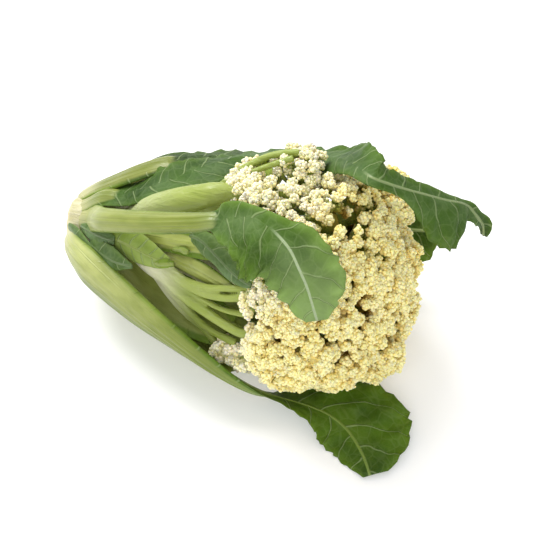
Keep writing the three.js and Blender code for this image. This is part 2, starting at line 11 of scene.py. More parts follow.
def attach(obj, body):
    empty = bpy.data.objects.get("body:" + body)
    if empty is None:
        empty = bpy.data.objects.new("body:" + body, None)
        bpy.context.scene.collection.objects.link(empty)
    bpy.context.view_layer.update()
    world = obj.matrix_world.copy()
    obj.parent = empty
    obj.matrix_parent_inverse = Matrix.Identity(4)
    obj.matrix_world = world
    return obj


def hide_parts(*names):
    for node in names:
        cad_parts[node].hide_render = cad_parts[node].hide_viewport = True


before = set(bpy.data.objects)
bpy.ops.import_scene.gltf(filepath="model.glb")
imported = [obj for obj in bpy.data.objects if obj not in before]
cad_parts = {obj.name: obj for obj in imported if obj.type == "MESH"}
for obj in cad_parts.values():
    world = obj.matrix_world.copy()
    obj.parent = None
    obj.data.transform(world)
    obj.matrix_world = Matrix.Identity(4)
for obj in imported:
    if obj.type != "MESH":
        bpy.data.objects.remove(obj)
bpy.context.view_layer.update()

MM = 0.001
HEAD_AT = np.array((-8.213, -0.885, 0.0))  # where the head's own frame sits in the part's frame
BUTT = np.array((-120.0, 0.0, 38.0))
STEM_AIM = np.array((58.0, 0.0, 75.0))
STEM_LENGTH = 201
CURD_CENTRE = np.array((54.0, -2.0, 74.0))
DOME_RISE, DOME_TURN = math.radians(18), math.radians(-10)
GOLDEN_ANGLE = math.pi * (3 - math.sqrt(5))


# ------------------------------------------------------------------ frames of the head
def unit(v):
    return v / np.linalg.norm(v)


def steps_round(rings, sides):
    """Each step round each of a tube's rings but the last, as the numbers of its two points."""
    return [(k * sides + j, k * sides + (j + 1) % sides) for k in range(rings - 1) for j in range(sides)]


class HeadFrame:
    """A place is a station along the axis, an angle round it (0 up, 90 front) and a radius."""

    def __init__(self, origin, axis):
        self.origin = origin
        self.axis = unit(axis)
        self.up = unit(np.array((0.0, 0.0, 1.0)) - self.axis * self.axis[2])
        self.front = np.cross(self.axis, self.up)

    def outward(self, angle):
        a = math.radians(angle)
        return self.up * math.cos(a) + self.front * math.sin(a)

    def place(self, station, angle, radius):
        return self.origin + self.axis * station + self.outward(angle) * radius

    def bearings(self, points):
        """The station and the angle of one point, or of many."""
        away = points - self.origin
        return away @ self.axis, np.degrees(np.arctan2(away @ self.front, away @ self.up))


STEM = HeadFrame(BUTT, STEM_AIM - BUTT)
DOME_AXIS = (
    math.cos(DOME_RISE) * math.cos(DOME_TURN), math.cos(DOME_RISE) * math.sin(DOME_TURN), math.sin(DOME_RISE)
)
DOME = HeadFrame(CURD_CENTRE, np.array(DOME_AXIS))


def spline(rows, t):
    """Catmull-Rom value of a list of rows at t, where t counts rows."""
    rows = np.asarray(rows, float)
    last = len(rows) - 1
    t = min(max(t, 0.0), last)
    i = min(int(t), last - 1)
    u = t - i
    a, b, c, d = (rows[min(max(k, 0), last)] for k in (i - 1, i, i + 1, i + 2))
    m, n = (c - a) / 2, (d - b) / 2
    rise = c - b
    return b + u * (m + u * (3 * rise - 2 * m - n + u * (m + n - 2 * rise)))


def even_stops(rows, step):
    """Values of t that lie about a step apart along the route, and the length up to each."""
    ts = np.linspace(0, len(rows) - 1, 400)
    points = np.array([spline(rows, t)[:3] for t in ts])
    lengths = np.concatenate([[0], np.cumsum(np.linalg.norm(np.diff(points, axis=0), axis=1))])
    wanted = np.linspace(0, lengths[-1], max(3, int(round(lengths[-1] / step))) + 1)
    return np.interp(wanted, lengths, ts), wanted


def smooth(x, low, high):
    """A soft step from 0 to 1 as x goes from low to high."""
    t = np.clip((x - low) / (high - low), 0, 1)
    return t * t * (3 - 2 * t)


# ------------------------------------------------------------------ working with objects
def only(obj):
    """Selects one object and nothing else."""
    bpy.ops.object.select_all(action="DESELECT")
    obj.select_set(True)
    bpy.context.view_layer.objects.active = obj


def put_in_scene(name, data):
    """An object for a mesh, a light or a camera."""
    obj = bpy.data.objects.new(name, data)
    bpy.context.scene.collection.objects.link(obj)
    return obj


def new_piece(name, points, faces):
    """A mesh object from points in the head's frame, in millimetres."""
    mesh = bpy.data.meshes.new(name)
    mesh.from_pydata(((np.array(points) + HEAD_AT) * MM).tolist(), [], faces)
    mesh.update()
    return put_in_scene(name, mesh)


def new_triangles(name, points, faces):
    """As new_piece, but quick, for arrays of many triangles."""
    mesh = bpy.data.meshes.new(name)
    placed = ((points + HEAD_AT) * MM).astype(np.float32)
    mesh.vertices.add(len(placed))
    mesh.vertices.foreach_set("co", placed.ravel())
    mesh.loops.add(3 * len(faces))
    mesh.loops.foreach_set("vertex_index", faces.astype(np.int32).ravel())
    mesh.polygons.add(len(faces))
    mesh.polygons.foreach_set("loop_start", np.arange(0, 3 * len(faces), 3, dtype=np.int32))
    mesh.update(calc_edges=True)
    mesh.validate()
    return put_in_scene(name, mesh)


def shape_with(obj, kind, **settings):
    """Adds a modifier and applies it."""
    only(obj)
    bpy.ops.object.modifier_add(type=kind)
    modifier = obj.modifiers[-1]
    for key, value in settings.items():
        setattr(modifier, key, value)
    bpy.ops.object.modifier_apply(modifier=modifier.name)


def faces_out(obj):
    only(obj)
    bpy.ops.object.mode_set(mode="EDIT")
    bpy.ops.mesh.select_all(action="SELECT")
    bpy.ops.mesh.normals_make_consistent(inside=False)
    bpy.ops.object.mode_set(mode="OBJECT")


def rounded(obj):
    only(obj)
    bpy.ops.object.shade_smooth()


def in_head(obj):
    """The piece's points in the head's frame, in millimetres."""
    points = np.empty(3 * len(obj.data.vertices), np.float32)
    obj.data.vertices.foreach_get("co", points)
    return points.reshape(-1, 3).astype(float) / MM - HEAD_AT


def mark(obj, name, values):
    """Keeps one number per point for the material to read."""
    layer = obj.data.attributes.new(name, "FLOAT", "POINT")
    layer.data.foreach_set("value", np.asarray(values, np.float32))


def finish_piece(obj, material, slot, *nodes):
    """Gives a piece its material and its body, and hides the nodes that it stands for. The slot is not used."""
    obj.data.materials.append(material)
    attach(obj, "root")
    if nodes:
        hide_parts(*nodes)


# ------------------------------------------------------------------ leaves
# Each row of a route, from the base to the tip: station, angle, radius, facing, rib half-width and rib
# thickness, then the blade's width on its low and high side, then the fold of each side in degrees. Low is the
# side of the smaller angle. A row may leave out its folds, or its blade and its folds, and then has BARE_RIB's.
BARE_RIB = (0.8, 0.8, 0, 0)
LEAVES = {
    "leaf_front": dict(curl=9, ruffle=1.4, waves=3.2, slot="leaf", midrib=0.86, sunk=(138, 176), route=[
        (5, 37, 11, 37, 7, 4), (15, 37.5, 15.5, 37, 7.6, 5), (26, 37.5, 23.5, 37, 8, 6.4),
        (38, 37.5, 36.5, 37, 7.6, 7.4), (53, 38, 50.5, 38, 6.8, 7.8), (91, 35, 65, 35, 6.2, 7),
        (124, 31.5, 73.5, 32, 5.6, 6), (138, 29.5, 77.5, 30, 5, 5.2),
        (146, 28.5, 80.5, 29, 4.7, 4.7, 5, 10, -30, 0), (156, 27, 84.5, 28, 4, 4.3, 6, 18, -20, 5),
        (167, 26.5, 88, 28, 3.4, 4, 4, 25, 0, 9), (178, 28, 90, 30, 3, 3.6, 5, 29, 0, 12),
        (188, 31, 89.5, 33, 2.6, 3.2, 9, 30, 0, 12), (197, 35, 88, 37, 2.3, 2.8, 16, 28, 0, 10),
        (204, 41, 85.5, 42, 2, 2.5, 20, 24, 0, 8), (210, 48, 82, 48, 1.7, 2.1, 21, 19, 0, 4),
        (214, 55, 80, 54, 1.4, 1.8, 15, 13), (217, 61, 79, 59, 1, 1.4, 6, 6),
    ]),
    "leaf_bottom": dict(curl=3, ruffle=1.6, waves=3.4, slot="leaf", midrib=0.86, route=[
        (7, 86, 15, 70, 6.5, 6), (15, 82, 27, 67, 9, 8.5), (34, 83, 40.5, 64, 10.8, 10),
        (54, 90, 48.5, 66, 11, 9.5), (79, 96, 58, 74, 10.5, 9), (104, 102, 66, 86, 9.5, 8, 0.8, 1),
        (125, 110, 72, 100, 8, 7, 1, 1.5), (142, 120, 77, 118, 6.5, 6, 1.5, 3), (156, 130, 81, 138, 5, 5, 2, 5),
        (168, 138, 83, 155, 4, 4.2, 4, 11), (181, 142, 85, 168, 3.2, 3.6, 9, 21),
        (194, 145, 88.5, 178, 2.6, 3.1, 15, 28), (206, 145, 93.5, 182, 2.2, 2.7, 16, 35),
        (216, 143, 99.5, 182, 1.9, 2.3, 14, 36), (226, 140, 107, 181, 1.6, 1.9, 10, 26),
        (234, 137, 115, 180, 1.1, 1.3, 3, 10),
    ]),
    "leaf_back": dict(curl=9, ruffle=1.8, waves=3.4, slot="leaf", sunk=(72, 180), grown=(30, 60), route=[
        (7, -24, 15, -20, 7, 7), (17, -22, 22, -14, 7.5, 7, 1, 1), (34, -16, 32.5, -10, 8, 7, 3, 1),
        (52, -15, 43, -8, 8.5, 7, 4, 1), (72, -20, 51.5, -12, 8.5, 6.5, 4.5, 2),
        (90, -30, 56, -20, 6.5, 5.5, 6, 9), (106, -42, 59, -32, 4.5, 4.5, 9, 14),
        (122, -54, 61.5, -44, 3.2, 3.5, 11, 10), (138, -61, 64, -56, 2.2, 2.6, 12, 10),
        (152, -65, 65.5, -62, 1.6, 2, 12, 11), (164, -68, 67, -66, 1.2, 1.6, 9, 8),
        (172, -70, 68, -68, 0.8, 1, 2, 2),
    ]),
    "leaf_top": dict(
        curl=6, ruffle=2.2, waves=5, sweep=0.35, slot="leaf", midrib=0.82, sunk=(40, 205), grown=(10, 50), route=[
        (5, 5, 12, 6, 6.5, 5), (17, 6, 18, 6, 6.5, 6), (33, 7, 30, 7, 6, 6, 2, 2),
        (53, 7, 39, 7, 4.6, 5.4, 6, 5, 0, 10), (72, 4, 48, 4, 3.8, 5, 8, 7, 0, 14),
        (88, -5, 53, -3, 3.4, 4.6, 9, 10, 0, 14), (100, -15, 56, -12, 3.2, 4.4, 10, 15, 0, 12),
        (110, -26, 58.5, -23, 3, 4.2, 11, 18, 0, 10), (122, -37, 62, -35, 3, 4, 11, 16.5, 4, 10),
        (141, -43, 66.5, -36, 3, 4, 12, 13, 4, 8), (158, -44, 68, -22, 3, 3.8, 13, 11, 2, 10),
        (172, -40, 69.5, -5, 3, 3.8, 15, 9, 2, 20), (183, -33, 71, 6, 3, 3.7, 14.5, 8, 0, 26),
        (194, -26, 73, 13, 2.9, 3.6, 13.5, 6, 0, 34), (204, -19, 75, 17, 2.7, 3.4, 12.5, 4, 0, 40),
        (213, -13, 76.5, 19, 2.6, 3.2, 11.5, 3, 2, 46), (222, -10, 76, 21, 2.5, 3, 10.5, 2.5, 4, 50),
        (234, -18, 67, 22, 2.2, 2.6, 8.5, 4, 4, 66), (243, -31, 60, 22, 2, 2.3, 6, 16, 4, 72),
        (250, -45, 57, 22, 1.7, 2, 4, 25, 4, 72), (255, -57, 58, 22, 1.4, 1.8, 3, 26, 4, 68),
        (258, -66, 59, 24, 1.1, 1.4, 2.5, 15, 0, 50), (261, -75, 58, 26, 0.9, 1.1, 3, 4, 0, 20),
        (263, -84, 58.5, 26, 0.8, 1, 5, 4), (262, -93, 59, 26, 0.7, 0.9, 2, 2),
    ]),
    "leaf_rear_low": dict(curl=10, ruffle=1.8, waves=3.4, slot="leaf", route=[
        (5, 238, 20, 238, 10, 9), (18, 234, 31, 234, 10, 9), (48, 236, 47, 236, 9.5, 8),
        (84, 239, 61, 239, 8.5, 7), (114, 241, 71, 241, 7, 6, 1, 1), (138, 242, 78, 242, 5, 5, 8, 6),
        (160, 243, 84, 243, 3.6, 4, 18, 14, 6, 6), (182, 245, 87, 245, 2.8, 3.2, 24, 17, 10, 8),
        (200, 247, 86, 248, 2.2, 2.6, 22, 16, 10, 8), (213, 249, 83, 250, 1.7, 2.1, 14, 11, 8, 6),
        (221, 250, 80, 252, 1.1, 1.6, 4, 4),
    ]),
    "leaf_under": dict(curl=6, ruffle=0.8, waves=2, slot="rib", route=[
        (5, 187, 19, 187, 10, 8), (22, 185, 32, 185, 10, 8), (48, 184, 43, 184, 10, 7.5),
        (78, 184, 51, 184, 9, 7), (108, 186, 57.5, 186, 8, 6, 1, 1), (134, 187, 64, 187, 6, 5, 4, 4),
        (152, 188, 68, 188, 4.5, 4, 6, 6),
    ]),
    "leaf_under_front": dict(curl=16, ruffle=0.8, waves=2, slot="rib", route=[
        (14, 128, 20, 134, 9, 6), (30, 126, 31, 148, 13, 6, 2, 2), (56, 126, 41, 160, 15, 6, 3, 3),
        (88, 127, 51, 166, 15, 5.5, 4, 4), (116, 129, 60, 166, 13, 5, 6, 6), (140, 131, 67, 160, 9, 4, 9, 8),
    ]),
    "leaf_rear_high": dict(curl=9, ruffle=1, waves=2, slot="rib", route=[
        (12, 288, 20, 288, 9, 8), (30, 289, 33, 289, 9, 8), (56, 291, 45, 291, 9, 7),
        (88, 293, 56, 293, 8, 6.5), (114, 294, 62, 294, 6.5, 5, 1.5, 1.5), (132, 295, 64, 295, 4.5, 3.6, 3, 3),
    ]),
    "leaf_inner": dict(curl=16, ruffle=0.5, waves=2, slot="rib", route=[
        (50, 50, 25, 48, 5, 4, 1, 1), (67, 44, 31.5, 46, 5.4, 4.5, 1, 1.5),
        (86, 42.5, 39, 44, 5.2, 4.5, 1.5, 2), (104, 42, 45, 44, 4.6, 4, 2, 3),
        (125, 41.5, 51, 44, 3.6, 3, 4, 4), (138, 42, 55, 46, 2, 2, 3, 3),
    ]),
    "leaf_bract": dict(curl=34, ruffle=1.2, waves=2, slot="rib", midrib=0.7, grown=(-2, -1), route=[
        (24, 55, 22, 56, 2.6, 3, 2, 2), (38, 52, 32, 54, 2.2, 2.6, 6, 5.5),
        (54, 52, 40, 54, 2, 2.2, 8, 6.5, 10, 10), (72, 54, 45.5, 56, 1.8, 2, 8.5, 7, 10, 20),
        (88, 57, 48.5, 56, 1.5, 1.7, 6, 6, 20, 20), (101, 58, 50, 54, 1, 1.2, 2, 2),
    ]),
    "leaf_small": dict(curl=20, ruffle=1.2, waves=3, slot="leaf", midrib=0.7, grown=(-2, -1), route=[
        (104, 36, 40, 40, 1, 1.2), (116, 36.5, 52, 40, 1, 1.2, 3.5, 3, 20, 20),
        (126, 39, 57.5, 44, 1, 1.2, 6, 5, 45, 40), (138, 44.5, 61, 50, 1, 1.2, 6.5, 5.5, 60, 45),
        (149, 50, 63.5, 56, 0.9, 1, 6, 5, 60, 40), (159, 53.5, 66, 58, 0.8, 0.9, 4.5, 4, 30, 20),
        (167, 55, 67, 60, 0.7, 0.8, 1.5, 1.5),
    ]),
    "leaf_inner_petiole": dict(curl=10, ruffle=0.3, waves=1, slot="rib", route=[
        (80, 58, 31, 60, 4, 4), (100, 57, 39.5, 60, 5, 4.4, 1, 1), (121, 59, 47.5, 62, 5, 4, 1, 1),
        (138, 62, 53, 64, 4.2, 3.4, 1, 1), (152, 65, 57, 66, 3, 2.6),
    ]),
    "leaflet_edge": dict(curl=30, ruffle=0.6, waves=2, slot="leaf", grown=(-2, -1), midrib=0.5, route=[
        (8, 58, 21, 60, 0.6, 0.7, 1.5, 1), (16, 61, 27, 64, 0.6, 0.7, 4, 3),
        (26, 66, 33, 66, 0.6, 0.7, 4.5, 3.5, 10, 0), (37, 70, 37.5, 68, 0.6, 0.6, 1.5, 1),
    ]),
    "leaflet_middle": dict(curl=30, ruffle=0.8, waves=2, slot="leaf", grown=(-2, -1), midrib=0.5, route=[
        (22, 51, 28, 50, 0.6, 0.8, 1.5, 1.5), (32, 52, 34, 50, 0.6, 0.8, 4.5, 4.5, 0, 20),
        (44, 53, 39, 50, 0.6, 0.8, 5.5, 5, 0, 20), (56, 53, 42, 50, 0.6, 0.7, 2, 1.5),
    ]),
    "leaflet_long": dict(curl=26, ruffle=1.2, waves=2, slot="leaf", grown=(-2, -1), midrib=0.5, route=[
        (32, 65, 33, 62, 0.6, 0.8, 1.5, 1.5), (39, 66.5, 37.5, 66, 0.6, 0.8, 6, 4.5),
        (50, 68.5, 42.5, 68, 0.6, 0.8, 8.5, 6, 0, 10), (60, 69, 46, 70, 0.6, 0.8, 8, 5, 10, 20),
        (70, 67.5, 48.5, 70, 0.6, 0.7, 3, 2), (74, 67, 49, 70, 0.6, 0.6, 1, 1),
    ]),
    "leaflet_nub": dict(curl=60, ruffle=0.8, waves=3, slot="rib", route=[
        (88, 61, 47, 62, 0.8, 1), (94, 60.5, 50.5, 60, 0.8, 1, 2, 1.2, 20, 0),
        (99, 59, 51.5, 56, 0.9, 1, 2.6, 1.2, 40, 0), (105, 57.5, 51, 52, 0.7, 0.8, 1, 0.8),
    ]),
    "leaf_sheath": dict(curl=14, ruffle=0.5, waves=1, slot="rib", route=[
        (26, 104, 16, 195, 5, 3, 2, 2), (42, 110, 22, 196, 9, 3, 3, 3), (70, 116, 33.5, 198, 12, 3, 4, 4),
        (96, 118, 40, 200, 13, 3, 4, 4), (116, 119, 46, 202, 10, 2.6, 5, 5), (130, 120, 50, 204, 6, 2, 5, 5),
    ]),
    "leaflet_bud": dict(curl=20, ruffle=0.2, waves=1, slot="rib", step=1.2, route=[
        (100, 48.5, 45, 50, 0.8, 1, 0.7, 0.7), (107, 47, 49, 50, 1.1, 1.6, 0.7, 0.7),
        (111, 47, 51, 50, 1.6, 2.4, 0.7, 0.7), (114, 47.5, 50.5, 50, 0.8, 1, 0.7, 0.7),
    ]),
}

LEAF_STEP = 2.4  # length of leaf between two of its cross-sections
RIB_COLUMNS = 8  # strips over each half of the rib
BLADE_COLUMNS = 11  # strips over the blade on each side
BLADE_SKIN = 0.75  # thickness of the blade, which thins to its margin
LEAST_BLADE, LEAST_RIB = 0.6, 0.5  # the narrowest a blade and half a rib get
MIDRIB_WIDTHS = (3, 14)  # widths of both blades between which a rib thins to a midrib
SINK_IN, SINK_OUT = 8, 22  # length over which a rib sinks into its blade, and rises again
ON_FLOOR, ABOVE_FLOOR = 0.1, 0.9  # the lowest that a leaf's underside and its top may lie
FOLD_RUN = 9  # the width over which a blade turns into its fold
TOOTH_DEPTH = 0.045  # depth of the margin's teeth, as a share of the blade's width
RIPPLE, FINE_RIPPLE = 1.1, 0.35  # heights of the margin's ripples
QUILT = 0.7  # height of the bulges between two side veins
VEIN_SPACING = 15
VEIN_LEAN, VEIN_CURVE = 0.42, 0.011  # how far a side vein runs towards the tip, by its distance and its square
VEIN_STAGGER = 6.3  # how far the side veins of the high side start before those of the low side


def folded(beyond, fold):
    """How far a folding blade reaches out and how far it drops, at a width beyond the rib."""
    turned = min(beyond, FOLD_RUN)
    half = fold * turned / FOLD_RUN / 2
    out, drop = turned * math.cos(half), turned * math.sin(half)
    rest = beyond - turned
    return out + rest * math.cos(fold), drop + rest * math.sin(fold)


def leaf_section(row, tangent, leaf, along, length, seed):
    """The outer and the inner side of a leaf at one station, with each point's place on the leaf."""
    point, facing = row[:3], row[3]
    rib_half, rib, low, high, fold_low, fold_high = row[4:10]
    thinned = leaf.get("midrib", 0.6 if leaf["slot"] == "leaf" else 0) * smooth(low + high, *MIDRIB_WIDTHS)
    station, _ = STEM.bearings(point)
    sunk = 0.0
    if "sunk" in leaf:
        start, end = leaf["sunk"]
        sunk = smooth(station, start, start + SINK_IN) * (1 - smooth(station, end, end + SINK_OUT))
    low, high = low + rib_half * thinned, high + rib_half * thinned
    rib_half = max(rib_half * (1 - thinned), LEAST_RIB)
    rib *= (1 - thinned) * (1 - 0.8 * sunk)
    normal = STEM.outward(facing)
    normal = unit(normal - tangent * np.dot(normal, tangent))
    side = np.cross(tangent, normal)
    wave = leaf["ruffle"] * math.sin(2 * math.pi * leaf["waves"] * along / length)
    outer, inner, places = [], [], []
    for column in range(-RIB_COLUMNS - BLADE_COLUMNS, RIB_COLUMNS + BLADE_COLUMNS + 1):
        sign = -1 if column < 0 else 1
        steps = abs(column)
        blade, fold = (low, fold_low) if sign < 0 else (high, fold_high)
        turn = seed + (1.7 if sign < 0 else 0)
        tooth = math.sin(along * 0.86 + turn) * 0.5 + math.sin(along * 2.1 + 2.6 * math.sin(along * 0.31) + turn)
        blade = max(blade, LEAST_BLADE) * (1 + TOOTH_DEPTH * smooth(blade, 4, 12) * tooth)
        out_share = (max(0, steps - RIB_COLUMNS) / BLADE_COLUMNS) ** 1.5
        beyond = blade * out_share
        x = rib_half * min(steps, RIB_COLUMNS) / RIB_COLUMNS + beyond
        across_rib = min(x / (rib_half * 1.3), 1)
        dome = (1 - across_rib**2) ** 1.2
        grooves = 0.2 * math.sin(x * 1.7 * sign + 0.8 * math.sin(along * 0.05) + seed)
        grooves += 0.16 * math.sin(x * 3.3 + 0.6 * math.sin(along * 0.03) + seed * 2)
        grooves *= dome * min(rib_half / 5, 1)
        skin = BLADE_SKIN * (1 - 0.85 * out_share**3) / 2
        margin = smooth(beyond, 5, 16)
        ripple = RIPPLE * margin * math.sin(along * 0.52 + turn * 2 + 0.5 * math.sin(along * 0.21))
        ripple += FINE_RIPPLE * margin * out_share * math.sin(along * 1.15 + turn * 3)
        stage = (along - x * VEIN_LEAN - x * x * VEIN_CURVE + (VEIN_STAGGER if sign > 0 else 0)) / VEIN_SPACING
        quilt = QUILT * margin * (1 + math.cos(2 * math.pi * stage))
        lift = wave * out_share * min(blade, 14) / 14 + ripple + quilt
        psi = math.radians(fold)
        bend = leaf["curl"] / 1000 * x
        reach, drop = folded(beyond, psi)
        turned = psi * min(beyond / FOLD_RUN, 1) + bend
        for outward_side, kept in ((1, outer), (-1, inner)):
            share = 0.6 - 0.35 * thinned if outward_side > 0 else 0.32 + 0.3 * thinned
            thick = skin + rib * dome * share + (grooves if outward_side > 0 else 0)
            height = outward_side * thick + lift
            across = min(x, rib_half) + reach + height * math.sin(turned)
            p = point + tangent * (leaf.get("sweep", 0) * beyond if sign > 0 else 0)
            p = p + side * (sign * across)
            p = p + normal * (height * math.cos(turned) - x * x * leaf["curl"] / 2000 - drop)
            above = outward_side * normal[2] > 0
            p[2] = max(p[2], ABOVE_FLOOR if above else ON_FLOOR)
            kept.append(p)
        green = max(smooth(x, rib_half * 0.75, rib_half * 1.25 + 0.6), sunk)
        places.append((sign * x, along, green, out_share))
    return outer, inner, places


def leaf_piece(name, leaf, seed):
    """One leaf: a domed rib that thins into a rippled blade on each side."""
    rows = [(*STEM.place(*row[:3]), *row[3:], *BARE_RIB[len(row) - 6:]) for row in leaf["route"]]
    stops, lengths = even_stops(rows, leaf.get("step", LEAF_STEP))
    points, places = [], []
    for t, along in zip(stops, lengths):
        ahead, behind = spline(rows, t + 0.08)[:3], spline(rows, t - 0.08)[:3]
        outer, inner, where = leaf_section(spline(rows, t), unit(ahead - behind), leaf, along, lengths[-1], seed)
        points += outer + inner[::-1]
        places += where + where[::-1]
    width = 2 * (RIB_COLUMNS + BLADE_COLUMNS) + 1
    ring = 2 * width
    faces = [(a, b, b + ring, a + ring) for a, b in steps_round(len(stops), ring)]
    for first, turn in ((0, 1), ((len(stops) - 1) * ring, -1)):
        for j in range(width - 1):
            quad = (first + j, first + ring - 1 - j, first + ring - 2 - j, first + j + 1)
            faces.append(quad[::turn])
    obj = new_piece(name, points, faces)
    places = np.array(places)
    mark(obj, "blade", places[:, 2])
    mark(obj, "margin", places[:, 3])
    mark(obj, "base", 1 - smooth(places[:, 1], 4, 30))
    mark(obj, "grown", smooth(places[:, 1], *leaf.get("grown", (100, 140))))
    uv = obj.data.uv_layers.new(name="LeafMap")
    corners = np.empty(len(obj.data.loops), np.int32)
    obj.data.loops.foreach_get("vertex_index", corners)
    uv.data.foreach_set("uv", (places[corners][:, :2] * MM).astype(np.float32).ravel())
    faces_out(obj)
    rounded(obj)
    return obj


# ------------------------------------------------------------------ where the curds sit
# Each ring's tilt (how far its curds lean outwards), its curds' size, and their places in the dome's frame:
# out, angle, radius and, where it isn't the ring's, size.
CURD_RINGS = {
    "crown": (0, 20, [(35, 0, 0)]),
    "shoulder": (25, 20, [(31, 20, 27), (31, 92, 27), (32, 164, 28), (31, 236, 27), (31, 308, 26)]),
    "middle": (52, 20, [
        (21, -2, 50), (21, 34, 50), (22, 70, 50), (22, 106, 51), (23, 142, 50),
        (32, 178, 56), (25, 212, 52), (21, 247, 52), (22, 288, 63, 19), (18, 320, 48),
    ]),
    "rim": (84, 20, [
        (-5, 16, 58), (6, 44, 56), (1, 100, 58), (-3, 132, 59), (0, 164, 59),
        (0, 195, 58), (-2, 225, 58), (-3, 254, 60), (0, 286, 66), (-9, 340, 65),
    ]),
    "skirt": (98, 17, [
        (-31, -14, 62), (-37, 9, 62, 12), (5, 64, 62, 11), (-33, 119, 61), (-47, 122, 68, 10),
        (-28, 152, 57), (-28, 188, 57), (-28, 222, 58), (-28, 256, 58), (-26, 298, 60),
    ]),
}
OUTER = ("rim", "skirt")
OPEN_CURDS = ("curd_rim_02", "curd_middle_01", "curd_middle_10", "curd_skirt_03", "curd_skirt_05")
CURD_SPREAD = 1.18  # a curd's half-width over its half-height
BLEND = 6.0  # how softly neighbouring curds run into one dome, in mm
SWELL = 4.0  # how far that blending would lift the dome


class Curd:
    """One curd of a ring: its place, the way it faces, and the small heads that make it up."""

    def __init__(self, ring, index, count, tilt, place, ring_size):
        out, angle, radius = place[:3]
        self.ring, self.angle = ring, angle
        self.size = place[3] if len(place) > 3 else ring_size
        lean = math.radians(tilt)
        self.facing = DOME.axis * math.cos(lean) + DOME.outward(angle) * math.sin(lean)
        self.centre = DOME.place(out, angle, radius)
        self.name = f"curd_{ring}" + (f"_{index + 1:02d}" if count > 1 else "")
        self.pale = ring in OUTER and out < -4 and (angle < 30 or angle > 330)
        self.loose = self.pale or self.name in OPEN_CURDS
        self.heads = []


CURDS = [
    Curd(ring, k, len(places), tilt, place, size)
    for ring, (tilt, size, places) in CURD_RINGS.items()
    for k, place in enumerate(places)
]
CENTRES = np.array([curd.centre for curd in CURDS])
FACINGS = np.array([curd.facing for curd in CURDS])
SIZES = np.array([curd.size for curd in CURDS], float)


def curd_distances(points):
    """Distance of each point outside each curd, where a curd is a slightly flattened ball."""
    away = points[:, None, :] - CENTRES[None]
    rise = np.einsum("pcx,cx->pc", away, FACINGS)
    flat = np.sqrt(np.maximum(np.einsum("pcx,pcx->pc", away, away) - rise**2, 0))
    return np.sqrt((flat / CURD_SPREAD) ** 2 + rise**2) - SIZES[None]


def dome_height(points):
    """Height of each point over the dome that the curds make together."""
    apart = curd_distances(points)
    return -BLEND * np.log(np.exp(-np.clip(apart, -60, 60) / BLEND).sum(axis=1)) + SWELL


def dome_slope(points):
    """The way out of the dome at each point."""
    steps = 0.4 * np.eye(3)
    slope = np.stack([dome_height(points + step) - dome_height(points - step) for step in steps], axis=1)
    return slope / np.maximum(np.linalg.norm(slope, axis=1, keepdims=True), 1e-9)


def cap_height(widest):
    """Height of a cap of the unit ball that reaches out to an angle in degrees."""
    return 1 - math.cos(math.radians(widest))


def close_packed(widest, radius, spacing):
    """How many points at a spacing fit on a ball's cap."""
    return int(2 * math.pi * cap_height(widest) * radius**2 / (spacing**2 * 0.87))


def around(count, axis, widest, turn=0.0):
    """Directions spread evenly over a cap round an axis, out to an angle in degrees."""
    height = 1 - cap_height(widest) * (np.arange(count) + 0.5) / count
    spin = np.arange(count) * GOLDEN_ANGLE + turn
    reach = np.sqrt(np.maximum(0, 1 - height**2))
    across = unit(np.cross(axis, (0.3, 0.5, 0.8)))
    other = np.cross(axis, across)
    sideways = (reach * np.cos(spin))[:, None] * across
    return height[:, None] * axis + sideways + (reach * np.sin(spin))[:, None] * other


class Leafage:
    """Keeps curd tissue off the leaves that wrap the head."""

    def __init__(self, pieces):
        points, faces = [], []
        for piece in pieces:
            start = len(points)
            points += [v.co.copy() for v in piece.data.vertices]
            faces += [[start + i for i in p.vertices] for p in piece.data.polygons]
        self.tree = BVHTree.FromPolygons(points, faces)

    def distance(self, p):
        return self.tree.find_nearest(Vector((p + HEAD_AT) * MM))[3] / MM

    def lies_between(self, p, direction, reach):
        return self.tree.ray_cast(Vector((p + HEAD_AT) * MM), Vector(direction), reach * MM)[0] is not None


def lumps(points, size, seed=0.0):
    """Soft random hills and hollows, from about -1 to 1, of a given size in mm."""
    return np.array([noise.noise(Vector(p / size) + Vector((seed, 0, 0))) for p in points])


def shows_its_stalks(p):
    """Whether a place is on the bare stretch above the topmost curd's arching stalks."""
    station, angle = STEM.bearings(p)
    return -34 < angle < -9 and 139 < station < 154


# Heads of the curd nearest the butt, which hang over the thick stalk: station, angle, radius, size.
OVERHANGING_HEADS = [
    (131, -5, 65, 2.6), (132, -9, 66, 2.2), (140, -4, 67.5, 3.2), (139, 0, 67.5, 3.4), (134.5, 2.5, 66, 2.7),
    (141, 7, 66.5, 3.1), (146, 4, 68, 3.6), (151, 9.4, 68.5, 3.2), (157, 12.5, 69.5, 3.3), (148, 12, 67, 2.6),
    (148, 0.5, 69.5, 3.4), (155, 6, 70, 3.6), (130, -1, 65, 2.2), (136, 7, 63.5, 2.0), (160, 1, 70, 3.4),
    (163, 9, 70, 3.3),
]
# Open hollows between the curds, where the stalks inside show: station, angle, and reach in mm and degrees.
HOLLOWS = [(207, -1, 8, 8), (202, 7, 4, 4), (216, 72, 5, 4), (243, 59, 4, 3.5)]


def in_hollow(p):
    """Whether a place is over one of the open hollows."""
    station, angle = STEM.bearings(p)
    return any(((station - s) / reach) ** 2 + ((angle - a) / span) ** 2 < 1 for s, a, reach, span in HOLLOWS)


CORE_ROOM = 16  # a leaf that lies less than this under a head keeps the head away
LEAF_GAP = 1.4  # least room between a head and a leaf, before its buds are set
MOST_SUNK = 7  # how far a head may sink to clear a leaf
LEAST_HEAD = 2.2  # the smallest that a head gets for a leaf
HEADS_APART = 0.76  # least distance between two heads, as a share of their spacing


